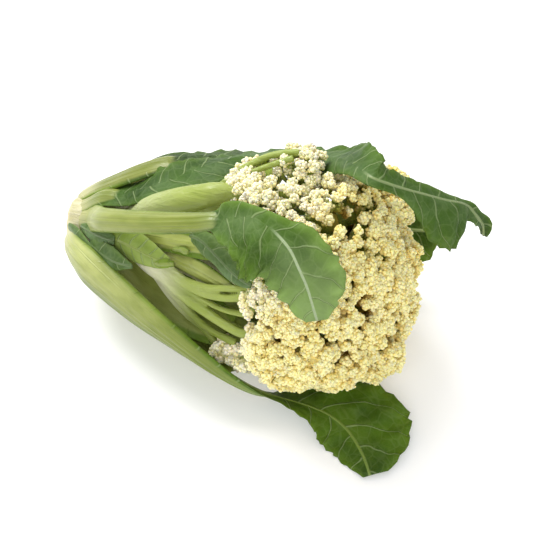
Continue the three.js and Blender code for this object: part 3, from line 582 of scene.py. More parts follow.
def lay_out_heads(wrap, every_leaf):
    """Places the small heads that make up each curd over the dome, apart from each other and off the leaves."""
    rng = np.random.default_rng(7)
    taken = np.empty((0, 3))
    for index, curd in reversed(list(enumerate(CURDS))):
        # A loose curd has smaller heads of more uneven depth, with more gaps between them.
        spacing, smallest, largest, hill, roughness, filled = (
            (6.0, 1.7, 3.3, 5.0, 2.6, 0.26) if curd.loose else (5.9, 2.3, 3.7, 4.2, 1.5, 0.4)
        )
        cap = 112 if curd.ring in OUTER else 96
        count = max(6, close_packed(cap, curd.size * 1.1, spacing))
        starts = curd.centre + around(count, curd.facing, cap, index) * curd.size * 1.05
        starts += rng.normal(0, 0.9, starts.shape)
        radii = rng.uniform(smallest, largest, count)
        depth = radii + 1.0 - lumps(starts, 11) * hill + np.abs(rng.normal(0, roughness, count))
        points = starts
        for _ in range(5):
            points = points - dome_slope(points) * (dome_height(points) + depth)[:, None]
        nearest = curd_distances(points).argmin(axis=1)
        slopes = dome_slope(points)
        under = (points - curd.centre) @ curd.facing < (-0.85 if curd.pale else -0.42) * curd.size
        gap = lumps(starts, 6.5, 40.0) > filled
        for k in range(count):
            if nearest[k] != index or under[k] or gap[k] or in_hollow(points[k]):
                continue
            p, n, r = points[k], slopes[k], radii[k]
            if wrap.lies_between(p, -n, CORE_ROOM) or (curd.name == "curd_skirt_01" and shows_its_stalks(p)):
                continue
            close = r + LEAF_GAP - every_leaf.distance(p)
            if close > 0:
                p = p - n * min(close, MOST_SUNK)
                r = min(r, max(LEAST_HEAD, every_leaf.distance(p) - 1.0))
            p = np.array((p[0], p[1], max(p[2], r + 0.9)))
            if len(taken) and np.linalg.norm(taken - p, axis=1).min() < HEADS_APART * spacing:
                continue
            taken = np.vstack([taken, p])
            curd.heads.append((p, n, r))
        if curd.name == "curd_skirt_02":
            for station, angle, reach, r in OVERHANGING_HEADS:
                facing = unit(STEM.outward(angle) - 0.35 * STEM.axis)
                curd.heads.append((STEM.place(station, angle, reach), facing, r))
        if not curd.heads:
            r = 0.3 * curd.size
            curd.heads.append((curd.centre + curd.facing * (curd.size - r), curd.facing, r))


# ------------------------------------------------------------------ curd meshes
def modelled_once(shape):
    """Points and triangles of a shape that is about to be copied many times."""
    points = np.array([v.co[:] for v in shape.data.vertices])
    faces = np.array([p.vertices[:] for p in shape.data.polygons])
    bpy.data.objects.remove(shape)
    return points, faces


def small_ball():
    bpy.ops.object.select_all(action="DESELECT")
    bpy.ops.mesh.primitive_ico_sphere_add(subdivisions=2, radius=1)
    return modelled_once(bpy.context.object)


def bud_shape():
    """One bud: a blunt knob along +Z, a little wider above its middle."""
    bpy.ops.object.select_all(action="DESELECT")
    bpy.ops.mesh.primitive_uv_sphere_add(segments=6, ring_count=3, radius=1)
    bud = bpy.context.object
    bpy.ops.object.mode_set(mode="EDIT")
    bpy.ops.mesh.select_all(action="DESELECT")
    bpy.ops.object.mode_set(mode="OBJECT")
    for v in bud.data.vertices:
        v.select = 0.2 < v.co.z < 0.9
    bpy.ops.object.mode_set(mode="EDIT")
    bpy.ops.transform.resize(value=(1.16, 1.16, 1))
    bpy.ops.mesh.select_all(action="SELECT")
    bpy.ops.mesh.quads_convert_to_tris()
    bpy.ops.object.mode_set(mode="OBJECT")
    return modelled_once(bud)


def copies(placed, faces):
    """Copies of one shape as one set of points and triangles."""
    starts = np.arange(len(placed)) * placed.shape[1]
    return placed.reshape(-1, 3), (faces[None] + starts[:, None, None]).reshape(-1, 3)


def many(shape, centres, radii):
    """One shape copied to many centres, each at its own size."""
    points, faces = shape
    centres, radii = np.asarray(centres, float), np.asarray(radii, float)
    return copies(points[None] * radii[:, None, None] + centres[:, None, :], faces)


def many_turned(shape, centres, radii, directions, rng):
    """One shape copied to many centres, with its +Z along each direction, spun and stretched at random."""
    points, faces = shape
    centres, radii, up = (np.asarray(a, float) for a in (centres, radii, directions))
    across = np.cross(up, (0.32, 0.55, 0.77))
    across /= np.linalg.norm(across, axis=1, keepdims=True)
    other = np.cross(up, across)
    spin = rng.uniform(0, 2 * math.pi, len(centres))[:, None]
    first = (across * np.cos(spin) + other * np.sin(spin)) * rng.uniform(0.85, 1.2, (len(centres), 1))
    second = (other * np.cos(spin) - across * np.sin(spin)) * rng.uniform(0.85, 1.2, (len(centres), 1))
    third = up * rng.uniform(0.9, 1.3, (len(centres), 1))
    axes = np.stack([first, second, third], axis=1) * radii[:, None, None]
    return copies(np.einsum("pk,nkx->npx", points, axes) + centres[:, None, :], faces)


def joined(parts):
    """Several sets of points and triangles as one."""
    starts = np.cumsum([0] + [len(points) for points, _ in parts])
    return np.concatenate([p for p, _ in parts]), np.concatenate([f + s for (_, f), s in zip(parts, starts)])


HEAD_CAP = 100  # how far round a head its buds go, in degrees from its top
BUD_SCATTER, BUD_LIFT = 0.17, 0.45  # how unevenly the buds point, and how unevenly they stand out, in mm
BUD_GAP = 0.3  # least room between a bud and a leaf
# The ball that fills a curd, by the kind of curd: how far out from its centre it sits, and its radius, as
# shares of the curd's size. It stays off the leaves.
LOOSE_HEART, SKIRT_HEART, HEART = (-0.2, 0.4), (0.15, 0.4), (-0.1, 0.66)
LEAST_HEART = 2.0
CURD_TOP, CURD_DEPTH = -1.0, -9  # heights over the dome between which a curd turns from open to deep
PALE_END = 196  # station where the pale curds end above, which lies nearer the butt on both sides


def curd_mesh(curd, index, bud, ball, every_leaf):
    """A curd: small heads side by side on a core, each covered with buds."""
    rng = np.random.default_rng(100 + index)
    spacing, smallest, largest = (1.9, 0.8, 1.35) if curd.loose else (1.85, 0.85, 1.35)
    buds, sizes, ways, tones, sides = [], [], [], [], []
    for p, n, r in curd.heads:
        count = max(5, close_packed(HEAD_CAP, r + 0.5, spacing))
        directions = around(count, n, HEAD_CAP, rng.uniform(0, 6))
        directions += rng.normal(0, BUD_SCATTER, directions.shape)
        directions /= np.linalg.norm(directions, axis=1, keepdims=True)
        lift = r + rng.normal(0, BUD_LIFT, count)
        radii = rng.uniform(smallest, largest, count)
        head_tone = rng.uniform(0, 0.55)
        for d, out, b in zip(directions, lift, radii):
            q = p + d * out
            q[2] = max(q[2], b * 1.3 + 0.15)
            if every_leaf.distance(q) > b + BUD_GAP:
                buds.append(q)
                sizes.append(b)
                ways.append(d)
                tones.append(head_tone + rng.uniform(0, 0.45))
                sides.append(d @ n)
    heads, facings, head_sizes = (np.array(column) for column in zip(*curd.heads))
    parts = [many_turned(bud, buds, sizes, ways, rng), many(ball, heads, head_sizes * 0.96)]
    if curd.loose:
        out, share = LOOSE_HEART
        heart = curd.centre + curd.facing * out * curd.size - STEM.up * 0.1 * curd.size
        parts.append(many(ball, [heart], [share * curd.size]))
    else:
        core = curd.centre + curd.facing * 0.12 * curd.size
        parts.append(many(bud, heads - facings * head_sizes[:, None], head_sizes * 1.05))
        parts.append(many(bud, heads * 0.5 + core * 0.5, head_sizes * 1.5))
        out, share = SKIRT_HEART if curd.ring == "skirt" else HEART
        heart = curd.centre + curd.facing * out * curd.size
        room = every_leaf.distance(heart) - 1.0
        parts.append(many(ball, [heart], [max(LEAST_HEART, min(share * curd.size, room))]))
    points, faces = joined(parts)
    obj = new_triangles(curd.name + "_florets", points, faces)
    rounded(obj)
    bud_points = len(bud[0])
    in_bud = bud_points * len(buds)
    lifted, open_side, tone = np.zeros(len(points)), np.zeros(len(points)), np.full(len(points), 0.2)
    lifted[:in_bud] = np.tile((bud[0][:, 2] + 1) / 2, len(buds))
    tone[:in_bud] = np.repeat(tones, bud_points)
    open_side[:in_bud] = np.repeat(smooth(np.array(sides), -0.1, 0.75), bud_points)
    mark(obj, "height", smooth(dome_height(points), CURD_DEPTH, CURD_TOP))
    mark(obj, "bud", lifted)
    mark(obj, "tone", tone)
    mark(obj, "open", open_side)
    station, angle = STEM.bearings(points)
    pale_end = PALE_END - 32 * smooth(angle, 38, 95) - 30 * smooth(angle, -30, -70)
    mark(obj, "pale", 1 - smooth(station - pale_end, -14, 12))
    return obj


# ------------------------------------------------------------------ stalks
def tube(route, radii, sides=10, step=3.0, flatten=0.0):
    """A round stalk along a smooth route of points, with a radius at each."""
    stops, _ = even_stops(route, step)
    share = np.array(stops) / (len(route) - 1)
    centres = np.array([spline(route, t) for t in stops])
    widths = np.array([spline([(r, 0, 0) for r in radii], s * (len(radii) - 1))[0] for s in share])
    tangents = np.gradient(centres, axis=0)
    tangents /= np.linalg.norm(tangents, axis=1, keepdims=True)
    normal = unit(np.cross(tangents[0], (0.31, 0.17, 0.93)))
    points = []
    for centre, width, tangent in zip(centres, widths, tangents):
        normal = unit(normal - tangent * np.dot(normal, tangent))
        other = np.cross(tangent, normal)
        for j in range(sides):
            turn = 2 * math.pi * j / sides
            points.append(centre + width * ((1 - flatten) * math.cos(turn) * normal + math.sin(turn) * other))
    faces = []
    for a, b in steps_round(len(stops), sides):
        faces += [(a, b, b + sides), (a, b + sides, a + sides)]
    for first, centre, turn in ((0, centres[0], -1), ((len(stops) - 1) * sides, centres[-1], 1)):
        points.append(centre)
        for j in range(sides):
            faces.append((len(points) - 1, first + j, first + (j + 1) % sides)[::turn])
    return np.array(points), np.array(faces)


# Each branch: the places of its trunk's root, middle and fork, the trunk's radius, its stalks' radius, and the
# rings and the span of angles whose curds it carries. A trunk in SHOWN_TRUNKS has its radii there.
BRANCHES = {
    "branch_top": ([(44, 22, 10), (74, 20, 43), (122, 11, 63)], None, 4, OUTER, (-30, 30)),
    "branch_front": ([(42, 62, 10), (70, 67, 38), (98, 75, 51)], None, None, OUTER, (30, 125)),
    "branch_front_low": ([(54, 134, 8), (76, 134, 28), (102, 136, 42)], 7, 3.6, OUTER, (125, 160)),
    "branch_under": ([(48, 180, 8), (68, 180, 24), (104, 180, 42)], 8, 4, OUTER, (160, 215)),
    "branch_rear_low": ([(52, 236, 8), (72, 236, 26), (108, 238, 46)], 8, 4, OUTER, (215, 275)),
    "branch_rear_high": ([(48, 306, 8), (68, 306, 26), (108, 304, 46)], 8, 4, OUTER, (275, 330)),
    "branch_inner_top": ([(86, 16, 6), (104, 18, 18), (132, 20, 27)], 6, 3.8, ("middle",), (-10, 50)),
    "branch_inner_front": ([(92, 100, 6), (110, 98, 18), (134, 94, 26)], 6, 3.8, ("middle",), (50, 125)),
    "branch_inner_under": ([(88, 180, 6), (106, 180, 18), (134, 180, 27)], 6, 3.8, ("middle",), (125, 230)),
    "branch_inner_rear": ([(94, 280, 6), (112, 280, 18), (138, 282, 27)], 6, 3.8, ("middle",), (230, 350)),
    "branch_shoulder_front": ([(128, 92, 4), (142, 92, 12), (158, 92, 16)], 4.6, 3.4, ("shoulder",), (0, 180)),
    "branch_shoulder_rear": ([(132, 272, 4), (146, 272, 12), (162, 272, 16)], 4.6, 3.4, ("shoulder",), (180, 360)),
}
TRUNK_TAPER = 0.65  # a trunk's radius at its fork, as a share of the trunk's
STALK_START = 0.2  # how far from its middle to its fork a trunk's stalks part
STALK_END = 0.5  # how deep in a curd its stalk ends, as a share of the curd's size
FLATTEN = 0.1  # how much flatter than round a stalk is
HEAD_STALK = [1.9, 1.4, 2.0]  # radii of the short stalk to a small head
STALK_GRAIN, SHOWN_GRAIN = 0.95, 0.7  # how finely a branch is joined, in mm
OUTER_TRIANGLES, INNER_TRIANGLES, SHOWN_TRIANGLES = 14000, 5000, 36000

# Trunks in full view are drawn out further: places, then the radius at each.
SHOWN_TRUNKS = {
    "branch_top": (
        [(46, 22, 16), (62, 21, 31), (78, 19, 43), (100, 15, 54.5), (122, 11, 62)], [6, 7.8, 8.6, 8.3, 7.4]
    ),
    "branch_front": ([(48, 64, 14), (62, 68, 22), (78, 73, 31), (96, 78, 40)], [7, 8.6, 9, 6]),
}
# Bare stalks in full view, by branch: the station, angle and radius of each place, and how thick it is there.
BARE_STALKS = {
    "branch_top": [
        [(100, 12, 46, 3.2), (120, 2, 56, 2.8), (134, -8, 66, 2.6), (150, -15, 74, 2.4), (167, -19, 77, 2.6)],
        [(104, 14, 48, 2.8), (124, 5, 58, 2.3), (138, -3, 66, 2.1), (153, -9, 72, 2), (166, -14, 76, 2.3)],
        [(112, 13, 59, 7.2), (124, 10, 62, 7.4), (136, 6, 60, 6), (150, 3, 54, 4.5)],
    ],
    "branch_front": [
        [(70, 68, 27, 4.5), (88, 68, 37, 4.4), (106, 70, 46.5, 3.8), (127, 71.5, 54, 3), (150, 67, 60.5, 2.6),
         (168, 61, 60, 3)],
        [(92, 70, 40, 3.2), (106, 70, 46.5, 3), (130, 66, 56, 2.3), (150, 61, 61, 2.2), (164, 58, 60, 2.5)],
        [(70, 74, 27, 4.6), (86, 77, 37, 4.8), (107, 83.6, 46.7, 4.3), (125, 86, 53.4, 3.6), (152, 90, 60.5, 3.1),
         (166, 91, 58, 3.4)],
        [(72, 80, 27, 4.5), (86, 84, 36, 4.4), (97, 92, 42, 3.6), (110, 102, 48.5, 2.9), (126, 105.7, 55, 2.5),
         (144, 108, 58, 2.8)],
        [(74, 84, 28, 4), (92, 97, 40, 3.6), (104, 107, 47, 2.8), (116, 113, 52.5, 2.3), (128, 119, 60, 2.5)],
        [(96, 76, 41, 2.6), (118, 79, 48.5, 2.2), (140, 80, 55, 1.9), (160, 78, 57, 2.2)],
        [(100, 84, 42, 2.4), (124, 98, 47, 1.9), (150, 96, 54, 2)],
    ],
}
# How white a branch starts, and the distances from its root between which it turns green.
WHITENED = {"branch_top": (0.3, 10, 72), "branch_front": (1.0, 30, 76)}


def serves(rings, span, curd):
    """Whether a branch carries a curd, by the curd's ring and its angle, which may count past a full turn."""
    turns = (curd.angle - 360, curd.angle, curd.angle + 360)
    return curd.ring in rings and any(span[0] <= a < span[1] for a in turns)


def branch_mesh(name, branch, seed):
    """A trunk that forks into a stalk for each curd, with short stalks on to the curd's small heads."""
    rng = np.random.default_rng(300 + seed)
    places, width, stalk, rings, span = branch
    shown = name in SHOWN_TRUNKS
    trunk = [STEM.place(*place) for place in places]
    middle, fork = trunk[1:]
    root = middle * (1 - STALK_START) + fork * STALK_START
    if shown:
        route, radii = SHOWN_TRUNKS[name]
        parts = [tube([STEM.place(*place) for place in route], radii, sides=16, flatten=0.12)]
    else:
        parts = [tube(trunk, [width * 0.95, width, width * TRUNK_TAPER], sides=14, flatten=0.12)]
    for curd in (c for c in CURDS if serves(rings, span, c)):
        end = curd.centre - curd.facing * STALK_END * curd.size
        under = end - curd.facing * min(0.8 * curd.size, 0.3 * np.linalg.norm(fork - end))
        bow = (fork + under) / 2 + DOME.outward(curd.angle) * 2 + rng.normal(0, 1.2, 3)
        if stalk:
            thin = stalk * (2 * curd.size + 20) / 60
            widths = [stalk * 1.35, stalk, thin, thin * 1.2]
            parts.append(tube([root, bow, under, end], widths, sides=12, flatten=FLATTEN))
        if curd.ring not in OUTER:
            continue
        for p, n, r in curd.heads:
            start = end - curd.facing * rng.uniform(0, 5)
            bend = (start + p) / 2 + curd.facing * -1.5 + rng.normal(0, 0.6, 3)
            parts.append(tube([start, bend, p - n * r * 0.2], HEAD_STALK, sides=7, step=3.5))
    for stops in BARE_STALKS.get(name, []):
        route, radii = [STEM.place(*stop[:3]) for stop in stops], [stop[3] for stop in stops]
        parts.append(tube(route, radii, sides=12, flatten=FLATTEN))
    obj = new_triangles(name + "_stalks", *joined(parts))
    grain = (SHOWN_GRAIN if shown else STALK_GRAIN) * MM
    shape_with(obj, "REMESH", mode="VOXEL", voxel_size=grain, use_smooth_shade=True)
    shape_with(obj, "SMOOTH", factor=0.5, iterations=7 if shown else 6)
    triangles = sum(len(p.vertices) - 2 for p in obj.data.polygons)
    wanted = SHOWN_TRIANGLES if shown else OUTER_TRIANGLES if rings == OUTER else INNER_TRIANGLES
    shape_with(obj, "DECIMATE", ratio=min(1.0, wanted / triangles), use_collapse_triangulate=True)
    rounded(obj)
    points = in_head(obj)
    station, _ = STEM.bearings(points)
    whiteness, white_end, green_start = WHITENED.get(name, (1.0, 10, 72))
    first = places[0][0]
    mark(obj, "base", whiteness * (1 - smooth(station, first + white_end, first + green_start)))
    mark(obj, "tip", smooth(dome_height(points), -11, -2))
    return obj


# ------------------------------------------------------------------ main stem
CUT_AT = 3.0  # station of the cut face
CUT_RINGS = [(4, -1.1), (8, -0.9), (12, -0.45), (14.6, -0.1)]  # radius on the cut face, and its dish there
STEM_PROFILE = [
    (CUT_AT, 16.2), (CUT_AT + 1.2, 17.6), (CUT_AT + 4, 18.2), (CUT_AT + 14, 19),
    (34, 18), (60, 16), (90, 12.5), (120, 9), (160, 6.5), (STEM_LENGTH, 5),
]


def main_stem():
    """The cut stem: an uneven, lobed column, and a slightly dished cut face."""
    sides = 72
    angles = [360 * j / sides for j in range(sides)]
    profile = [(s, r, 0) for s, r in STEM_PROFILE]
    stops, _ = even_stops([(s, 0, 0) for s, _ in STEM_PROFILE], 2.5)
    points = [STEM.place(CUT_AT - dish, angle, radius) for radius, dish in CUT_RINGS for angle in angles]
    for station, radius, _ in (spline(profile, t) for t in stops):
        for angle in angles:
            lobes = 0.55 * math.sin(math.radians(angle * 5 + 20))
            lobes += 0.25 * math.sin(math.radians(angle * 13) + station * 0.2)
            points.append(STEM.place(station, angle, radius + lobes * min(1, radius / 14)))
    last = len(points) - sides
    faces = [(a, a + sides, b + sides, b) for a, b in steps_round(len(points) // sides, sides)]
    points += [STEM.place(CUT_AT + 1.1, 0, 0), STEM.place(STEM_LENGTH, 0, 0)]
    for j in range(sides):
        following = (j + 1) % sides
        faces.append((len(points) - 2, j, following))
        faces.append((len(points) - 1, last + following, last + j))
    obj = new_piece("main_stem_column", points, faces)
    faces_out(obj)
    rounded(obj)
    station, _ = STEM.bearings(in_head(obj))
    mark(obj, "cut", 1 - smooth(station, CUT_AT + 0.2, CUT_AT + 1.6))
    mark(obj, "butt", 1 - smooth(station, 14, 34))
    return obj


# ------------------------------------------------------------------ materials
def shade(code):
    """The shader's colour for six hex digits, which give it as the eye sees it."""
    def linear(c):
        c /= 255
        return c / 12.92 if c <= 0.04045 else ((c + 0.055) / 1.055) ** 2.4
    return (*(linear(int(code[k:k + 2], 16)) for k in (0, 2, 4)), 1.0)


class Tree:
    """Short words for building a node tree. Colours are given as six hex digits."""

    def __init__(self, tree):
        self.tree = tree

    def add(self, kind, inputs=None, **settings):
        node = self.tree.nodes.new(kind)
        for key, value in settings.items():
            setattr(node, key, value)
        self.fill(node, inputs or {})
        return node

    def fill(self, node, inputs):
        """Gives each named input a constant or a link."""
        for key, value in inputs.items():
            self.set(node.inputs[key], value)

    def set(self, socket, value):
        if isinstance(value, bpy.types.NodeSocket):
            self.tree.links.new(value, socket)
        else:
            socket.default_value = shade(value) if isinstance(value, str) else value

    def math(self, operation, a, b=0.0, c=0.0, clamp=False):
        return self.add("ShaderNodeMath", {0: a, 1: b, 2: c}, operation=operation, use_clamp=clamp).outputs[0]

    def times(self, a, b):
        return self.math("MULTIPLY", a, b)

    def ramp(self, value, low, high, start=0.0, end=1.0):
        """A soft step from start to end as value goes from low to high."""
        inputs = {"Value": value, "From Min": low, "From Max": high, "To Min": start, "To Max": end}
        return self.add("ShaderNodeMapRange", inputs, interpolation_type="SMOOTHSTEP").outputs["Result"]

    def mix(self, factor, a, b, blend="MIX"):
        node = self.add("ShaderNodeMix", data_type="RGBA", blend_type=blend)
        self.fill(node, {"Factor": factor, "A": a, "B": b})
        return node.outputs["Result"]

    def noise(self, vector, scale, detail=2.0, roughness=0.5):
        inputs = {"Vector": vector, "Scale": scale, "Detail": detail, "Roughness": roughness}
        return self.add("ShaderNodeTexNoise", inputs).outputs["Fac"]

    def cells(self, vector, scale, feature="F1"):
        node = self.add("ShaderNodeTexVoronoi", feature=feature)
        self.fill(node, {"Vector": vector, "Scale": scale})
        return node.outputs["Distance"]

    def stretched(self, vector, scale):
        return self.add("ShaderNodeMapping", {"Vector": vector, "Scale": scale}).outputs["Vector"]

    def mark(self, name):
        return self.add("ShaderNodeAttribute", attribute_name=name).outputs["Fac"]

    def group(self, group, inputs):
        return self.add("ShaderNodeGroup", inputs, node_tree=group).outputs

    def spot(self):
        return self.add("ShaderNodeTexCoord").outputs["Object"]


def group_tree(name, inputs, outputs):
    """A node group with its inputs, which are vectors or values, and its outputs, which are values."""
    tree = bpy.data.node_groups.new(name, "ShaderNodeTree")
    kinds = {"value": "NodeSocketFloat", "vector": "NodeSocketVector"}
    for label, kind in inputs.items():
        tree.interface.new_socket(name=label, in_out="INPUT", socket_type=kinds[kind])
    for label in outputs:
        tree.interface.new_socket(name=label, in_out="OUTPUT", socket_type=kinds["value"])
    t = Tree(tree)
    return tree, t, t.add("NodeGroupInput").outputs, t.add("NodeGroupOutput")


def leaf_veins_group():
    """Side veins that leave the midrib and curve to the tip, and the fine net between them."""
    tree, t, given, results = group_tree(
        "Leaf veins", {"Place": "vector", "Spacing": "value"}, ("Side Veins", "Net", "Quilt")
    )
    split = t.add("ShaderNodeSeparateXYZ", {"Vector": given["Place"]}).outputs
    wander = t.math("SUBTRACT", t.noise(given["Place"], 42.0, 2.0), 0.5)
    u = t.times(split["X"], 1000.0)
    v = t.math("MULTIPLY_ADD", split["Y"], 1000.0, t.times(wander, 13.0))
    away = t.math("ABSOLUTE", u)
    curve = t.math("ADD", t.times(away, VEIN_LEAN), t.times(t.math("POWER", away, 2.0), VEIN_CURVE))
    start = t.math("SUBTRACT", v, curve)
    start = t.math("ADD", start, t.times(t.math("GREATER_THAN", u, 0.0), VEIN_STAGGER))
    wave = t.math("FRACT", t.math("DIVIDE", start, given["Spacing"]))
    apart = t.times(t.math("ABSOLUTE", t.math("SUBTRACT", wave, 0.5)), given["Spacing"])
    edge = t.times(t.ramp(away, 2.0, 34.0, 0.42, 0.16), 2.2)
    thin = t.math("SUBTRACT", 1.0, t.math("DIVIDE", apart, edge), clamp=True)
    sway = t.add("ShaderNodeCombineXYZ", {"X": wander, "Y": wander}).outputs[0]
    sway = t.stretched(sway, (0.006, 0.006, 0))
    bent = t.add("ShaderNodeVectorMath", {0: given["Place"], 1: sway}, operation="ADD")
    coarse = t.cells(bent.outputs[0], 150.0, "DISTANCE_TO_EDGE")
    fine = t.cells(bent.outputs[0], 430.0, "DISTANCE_TO_EDGE")
    net = t.math("ADD", t.ramp(coarse, 0.09, 0.0, 0.0, 0.8), t.ramp(fine, 0.1, 0.0, 0.0, 0.35), clamp=True)
    t.fill(results, {"Side Veins": t.ramp(thin, 0.0, 0.75), "Net": net, "Quilt": t.ramp(coarse, 0.0, 0.45)})
    return tree


def fibre_group():
    """Fine lines that run along a rib or stalk, and slow patches over it."""
    tree, t, given, results = group_tree(
        "Plant fibre", {"Along": "vector", "Fineness": "value"}, ("Lines", "Patches")
    )
    scaled = t.add("ShaderNodeVectorMath", {0: given["Along"], "Scale": given["Fineness"]}, operation="SCALE")
    along = scaled.outputs[0]
    fine = t.noise(t.stretched(along, (1.0, 0.012, 1.0)), 1.0)
    bands = t.noise(t.stretched(along, (0.3, 0.006, 0.3)), 1.0)
    patches = t.noise(t.stretched(along, (0.12, 0.05, 0.12)), 1.0, 3.0, 0.55)
    lines = t.ramp(t.math("ADD", t.times(fine, 0.4), t.times(bands, 0.6)), 0.36, 0.64)
    t.fill(results, {"Lines": lines, "Patches": t.ramp(patches, 0.32, 0.68)})
    return tree


VEINS = leaf_veins_group()
FIBRE = fibre_group()
PLANT_DEPTH = (0.0018, 0.0022, 0.0008)  # how deep red, green and blue light goes into a leaf or stalk, in metres


def new_material(name, **settings):
    """A material with one shader, whose constants are given in words: specular_ior_level=0.2."""
    material = bpy.data.materials.new(name)
    material.use_nodes = True
    material.node_tree.nodes.clear()
    t = Tree(material.node_tree)
    surface = t.add("ShaderNodeBsdfPrincipled", {"Subsurface Scale": 1.0})
    t.fill(surface, {key.replace("_", " ").title().replace("Ior", "IOR"): v for key, v in settings.items()})
    t.add("ShaderNodeOutputMaterial", {"Surface": surface.outputs[0]})
    return material, t, surface


def bump(t, surface, height, distance, strength):
    """Fine relief, with its greatest height in metres."""
    node = t.add("ShaderNodeBump", {"Height": height, "Distance": distance, "Strength": strength})
    t.set(surface.inputs["Normal"], node.outputs["Normal"])


def lengthwise_fibre(t, spot, fineness):
    """Fibre that runs along the head, for the pieces without a map of their own."""
    turned = t.add("ShaderNodeMapping", {"Vector": spot, "Rotation": (0, math.radians(12), math.radians(-90))})
    return t.group(FIBRE, {"Along": turned.outputs["Vector"], "Fineness": fineness})


def leaf_material(
    name, shades, bloom_amount, spacing=VEIN_SPACING, line=None, stripes=0.36, far="96a876", lit_tip=0.0, under=0.0
):
    """A leaf: pale rib with fine lines, and a veined blade with a waxy bloom.

    The shades are the blade's dark, middle, bright and bloom, then the rib near its foot and further on. Line
    colours the lines of a plain rib, far is the rib's end, lit_tip paints light on the blade's far end, where
    it faces the lamp, and under paints shade on the rib's high side, along its lower edge."""
    material, t, surface = new_material(name, subsurface_radius=PLANT_DEPTH)
    dark, mid, bright, bloom, rib_low, rib_high = shades.split()
    place = t.add("ShaderNodeUVMap", uv_map="LeafMap").outputs["UV"]
    spot = t.spot()
    split = t.add("ShaderNodeSeparateXYZ", {"Vector": place}).outputs
    veins = t.group(VEINS, {"Place": place, "Spacing": spacing})
    fibre = t.group(FIBRE, {"Along": place, "Fineness": 900.0})
    blade, margin, base, grown = (t.mark(mark) for mark in ("blade", "margin", "base", "grown"))
    patches = t.ramp(t.noise(spot, 34.0, 3.0), 0.34, 0.66)
    specks = t.ramp(t.noise(spot, 420.0, 3.0, 0.7), 0.3, 0.75)
    green = t.mix(patches, dark, mid)
    green = t.mix(t.times(t.ramp(margin, 0.35, 1.0), 0.55), green, bright)
    green = t.mix(grown, t.mix(patches, "5c761a", "7c9234"), green)
    green = t.mix(1.0, green, (0.84, 0.88, 0.68, 1), "MULTIPLY")
    away = t.math("ABSOLUTE", t.times(split["X"], 1000.0))
    waxy = t.times(t.ramp(away, 20.0, 2.0), t.ramp(t.noise(spot, 60.0, 3.0, 0.6), 0.3, 0.62))
    waxy = t.times(t.times(waxy, grown), t.ramp(split["X"], -0.006, 0.003, 0.25, 1.0))
    green = t.mix(t.times(waxy, bloom_amount), green, bloom)
    green = t.mix(t.times(specks, 0.1), green, "687e36")
    # Painted light: the blade's far end is lightened by the amount lit_tip, where it faces the lamp.
    green = t.mix(t.ramp(split["Y"], 0.205, 0.26, 0.0, lit_tip), green, "9cb670")
    vein_green = "8c9e6a"
    green = t.mix(t.times(veins["Net"], 0.12), green, vein_green)
    green = t.mix(t.times(veins["Side Veins"], t.ramp(grown, 0.0, 1.0, 0.14, 0.5)), green, vein_green)
    rib = t.mix(t.ramp(split["Y"], 0.02, 0.15), rib_low, rib_high)
    rib = t.mix(t.times(fibre["Lines"], stripes), rib, line or "b0b870")
    if line is None:
        rib = t.mix(t.times(fibre["Patches"], 0.4), rib, "687a1e")
        rib = t.mix(t.ramp(split["Y"], 0.14, 0.19), rib, far)
        rib = t.mix(t.times(base, 0.85), rib, "c0be8e")
        # Painted shade: the rib's high side, along its lower edge, is darkened by the amount under.
        rib = t.mix(t.ramp(split["X"], 0.0015, 0.009, 0.0, under), rib, "627622")
    rib = t.mix(1.0, rib, (0.86, 0.85, 0.78, 1), "MULTIPLY")
    t.fill(surface, {
        "Base Color": t.mix(t.ramp(blade, 0.15, 0.85), rib, green),
        "Roughness": t.math("ADD", t.ramp(blade, 0.0, 1.0, 0.3, 0.5), t.times(patches, 0.1)),
        "Specular IOR Level": t.ramp(blade, 0.2, 0.9, 0.42, 0.14),
        "Subsurface Weight": t.ramp(blade, 0.2, 0.9, 0.2, 0.04),
    })
    raised = t.math("ADD", t.times(veins["Side Veins"], 0.6), t.times(veins["Quilt"], 0.3))
    lined = t.times(t.times(fibre["Lines"], 0.35), t.math("SUBTRACT", 1.0, blade))
    bump(t, surface, t.math("ADD", t.times(raised, blade), lined), 0.001, 1.0)
    return material


def stalk_material():
    """A stalk: whitish where it starts, fresh green along it, yellow-green where it meets the curd."""
    material, t, surface = new_material(
        "stalk_skin", specular_ior_level=0.45, subsurface_weight=0.2, subsurface_radius=PLANT_DEPTH
    )
    spot = t.spot()
    fibre = lengthwise_fibre(t, spot, 620.0)
    patches = t.ramp(t.noise(spot, 45.0, 3.0), 0.32, 0.68)
    colour = t.mix(patches, "708426", "909c48")
    colour = t.mix(t.times(fibre["Lines"], 0.4), colour, "b0b870")
    colour = t.mix(t.times(t.mark("tip"), 0.7), colour, "94a848")
    colour = t.mix(t.mark("base"), colour, "eaeecc")
    colour = t.mix(1.0, colour, (0.9, 0.86, 0.84, 1), "MULTIPLY")
    t.fill(surface, {"Base Color": colour, "Roughness": t.ramp(fibre["Patches"], 0.0, 1.0, 0.34, 0.5)})
    bump(t, surface, fibre["Lines"], 0.0005, 0.8)
    return material


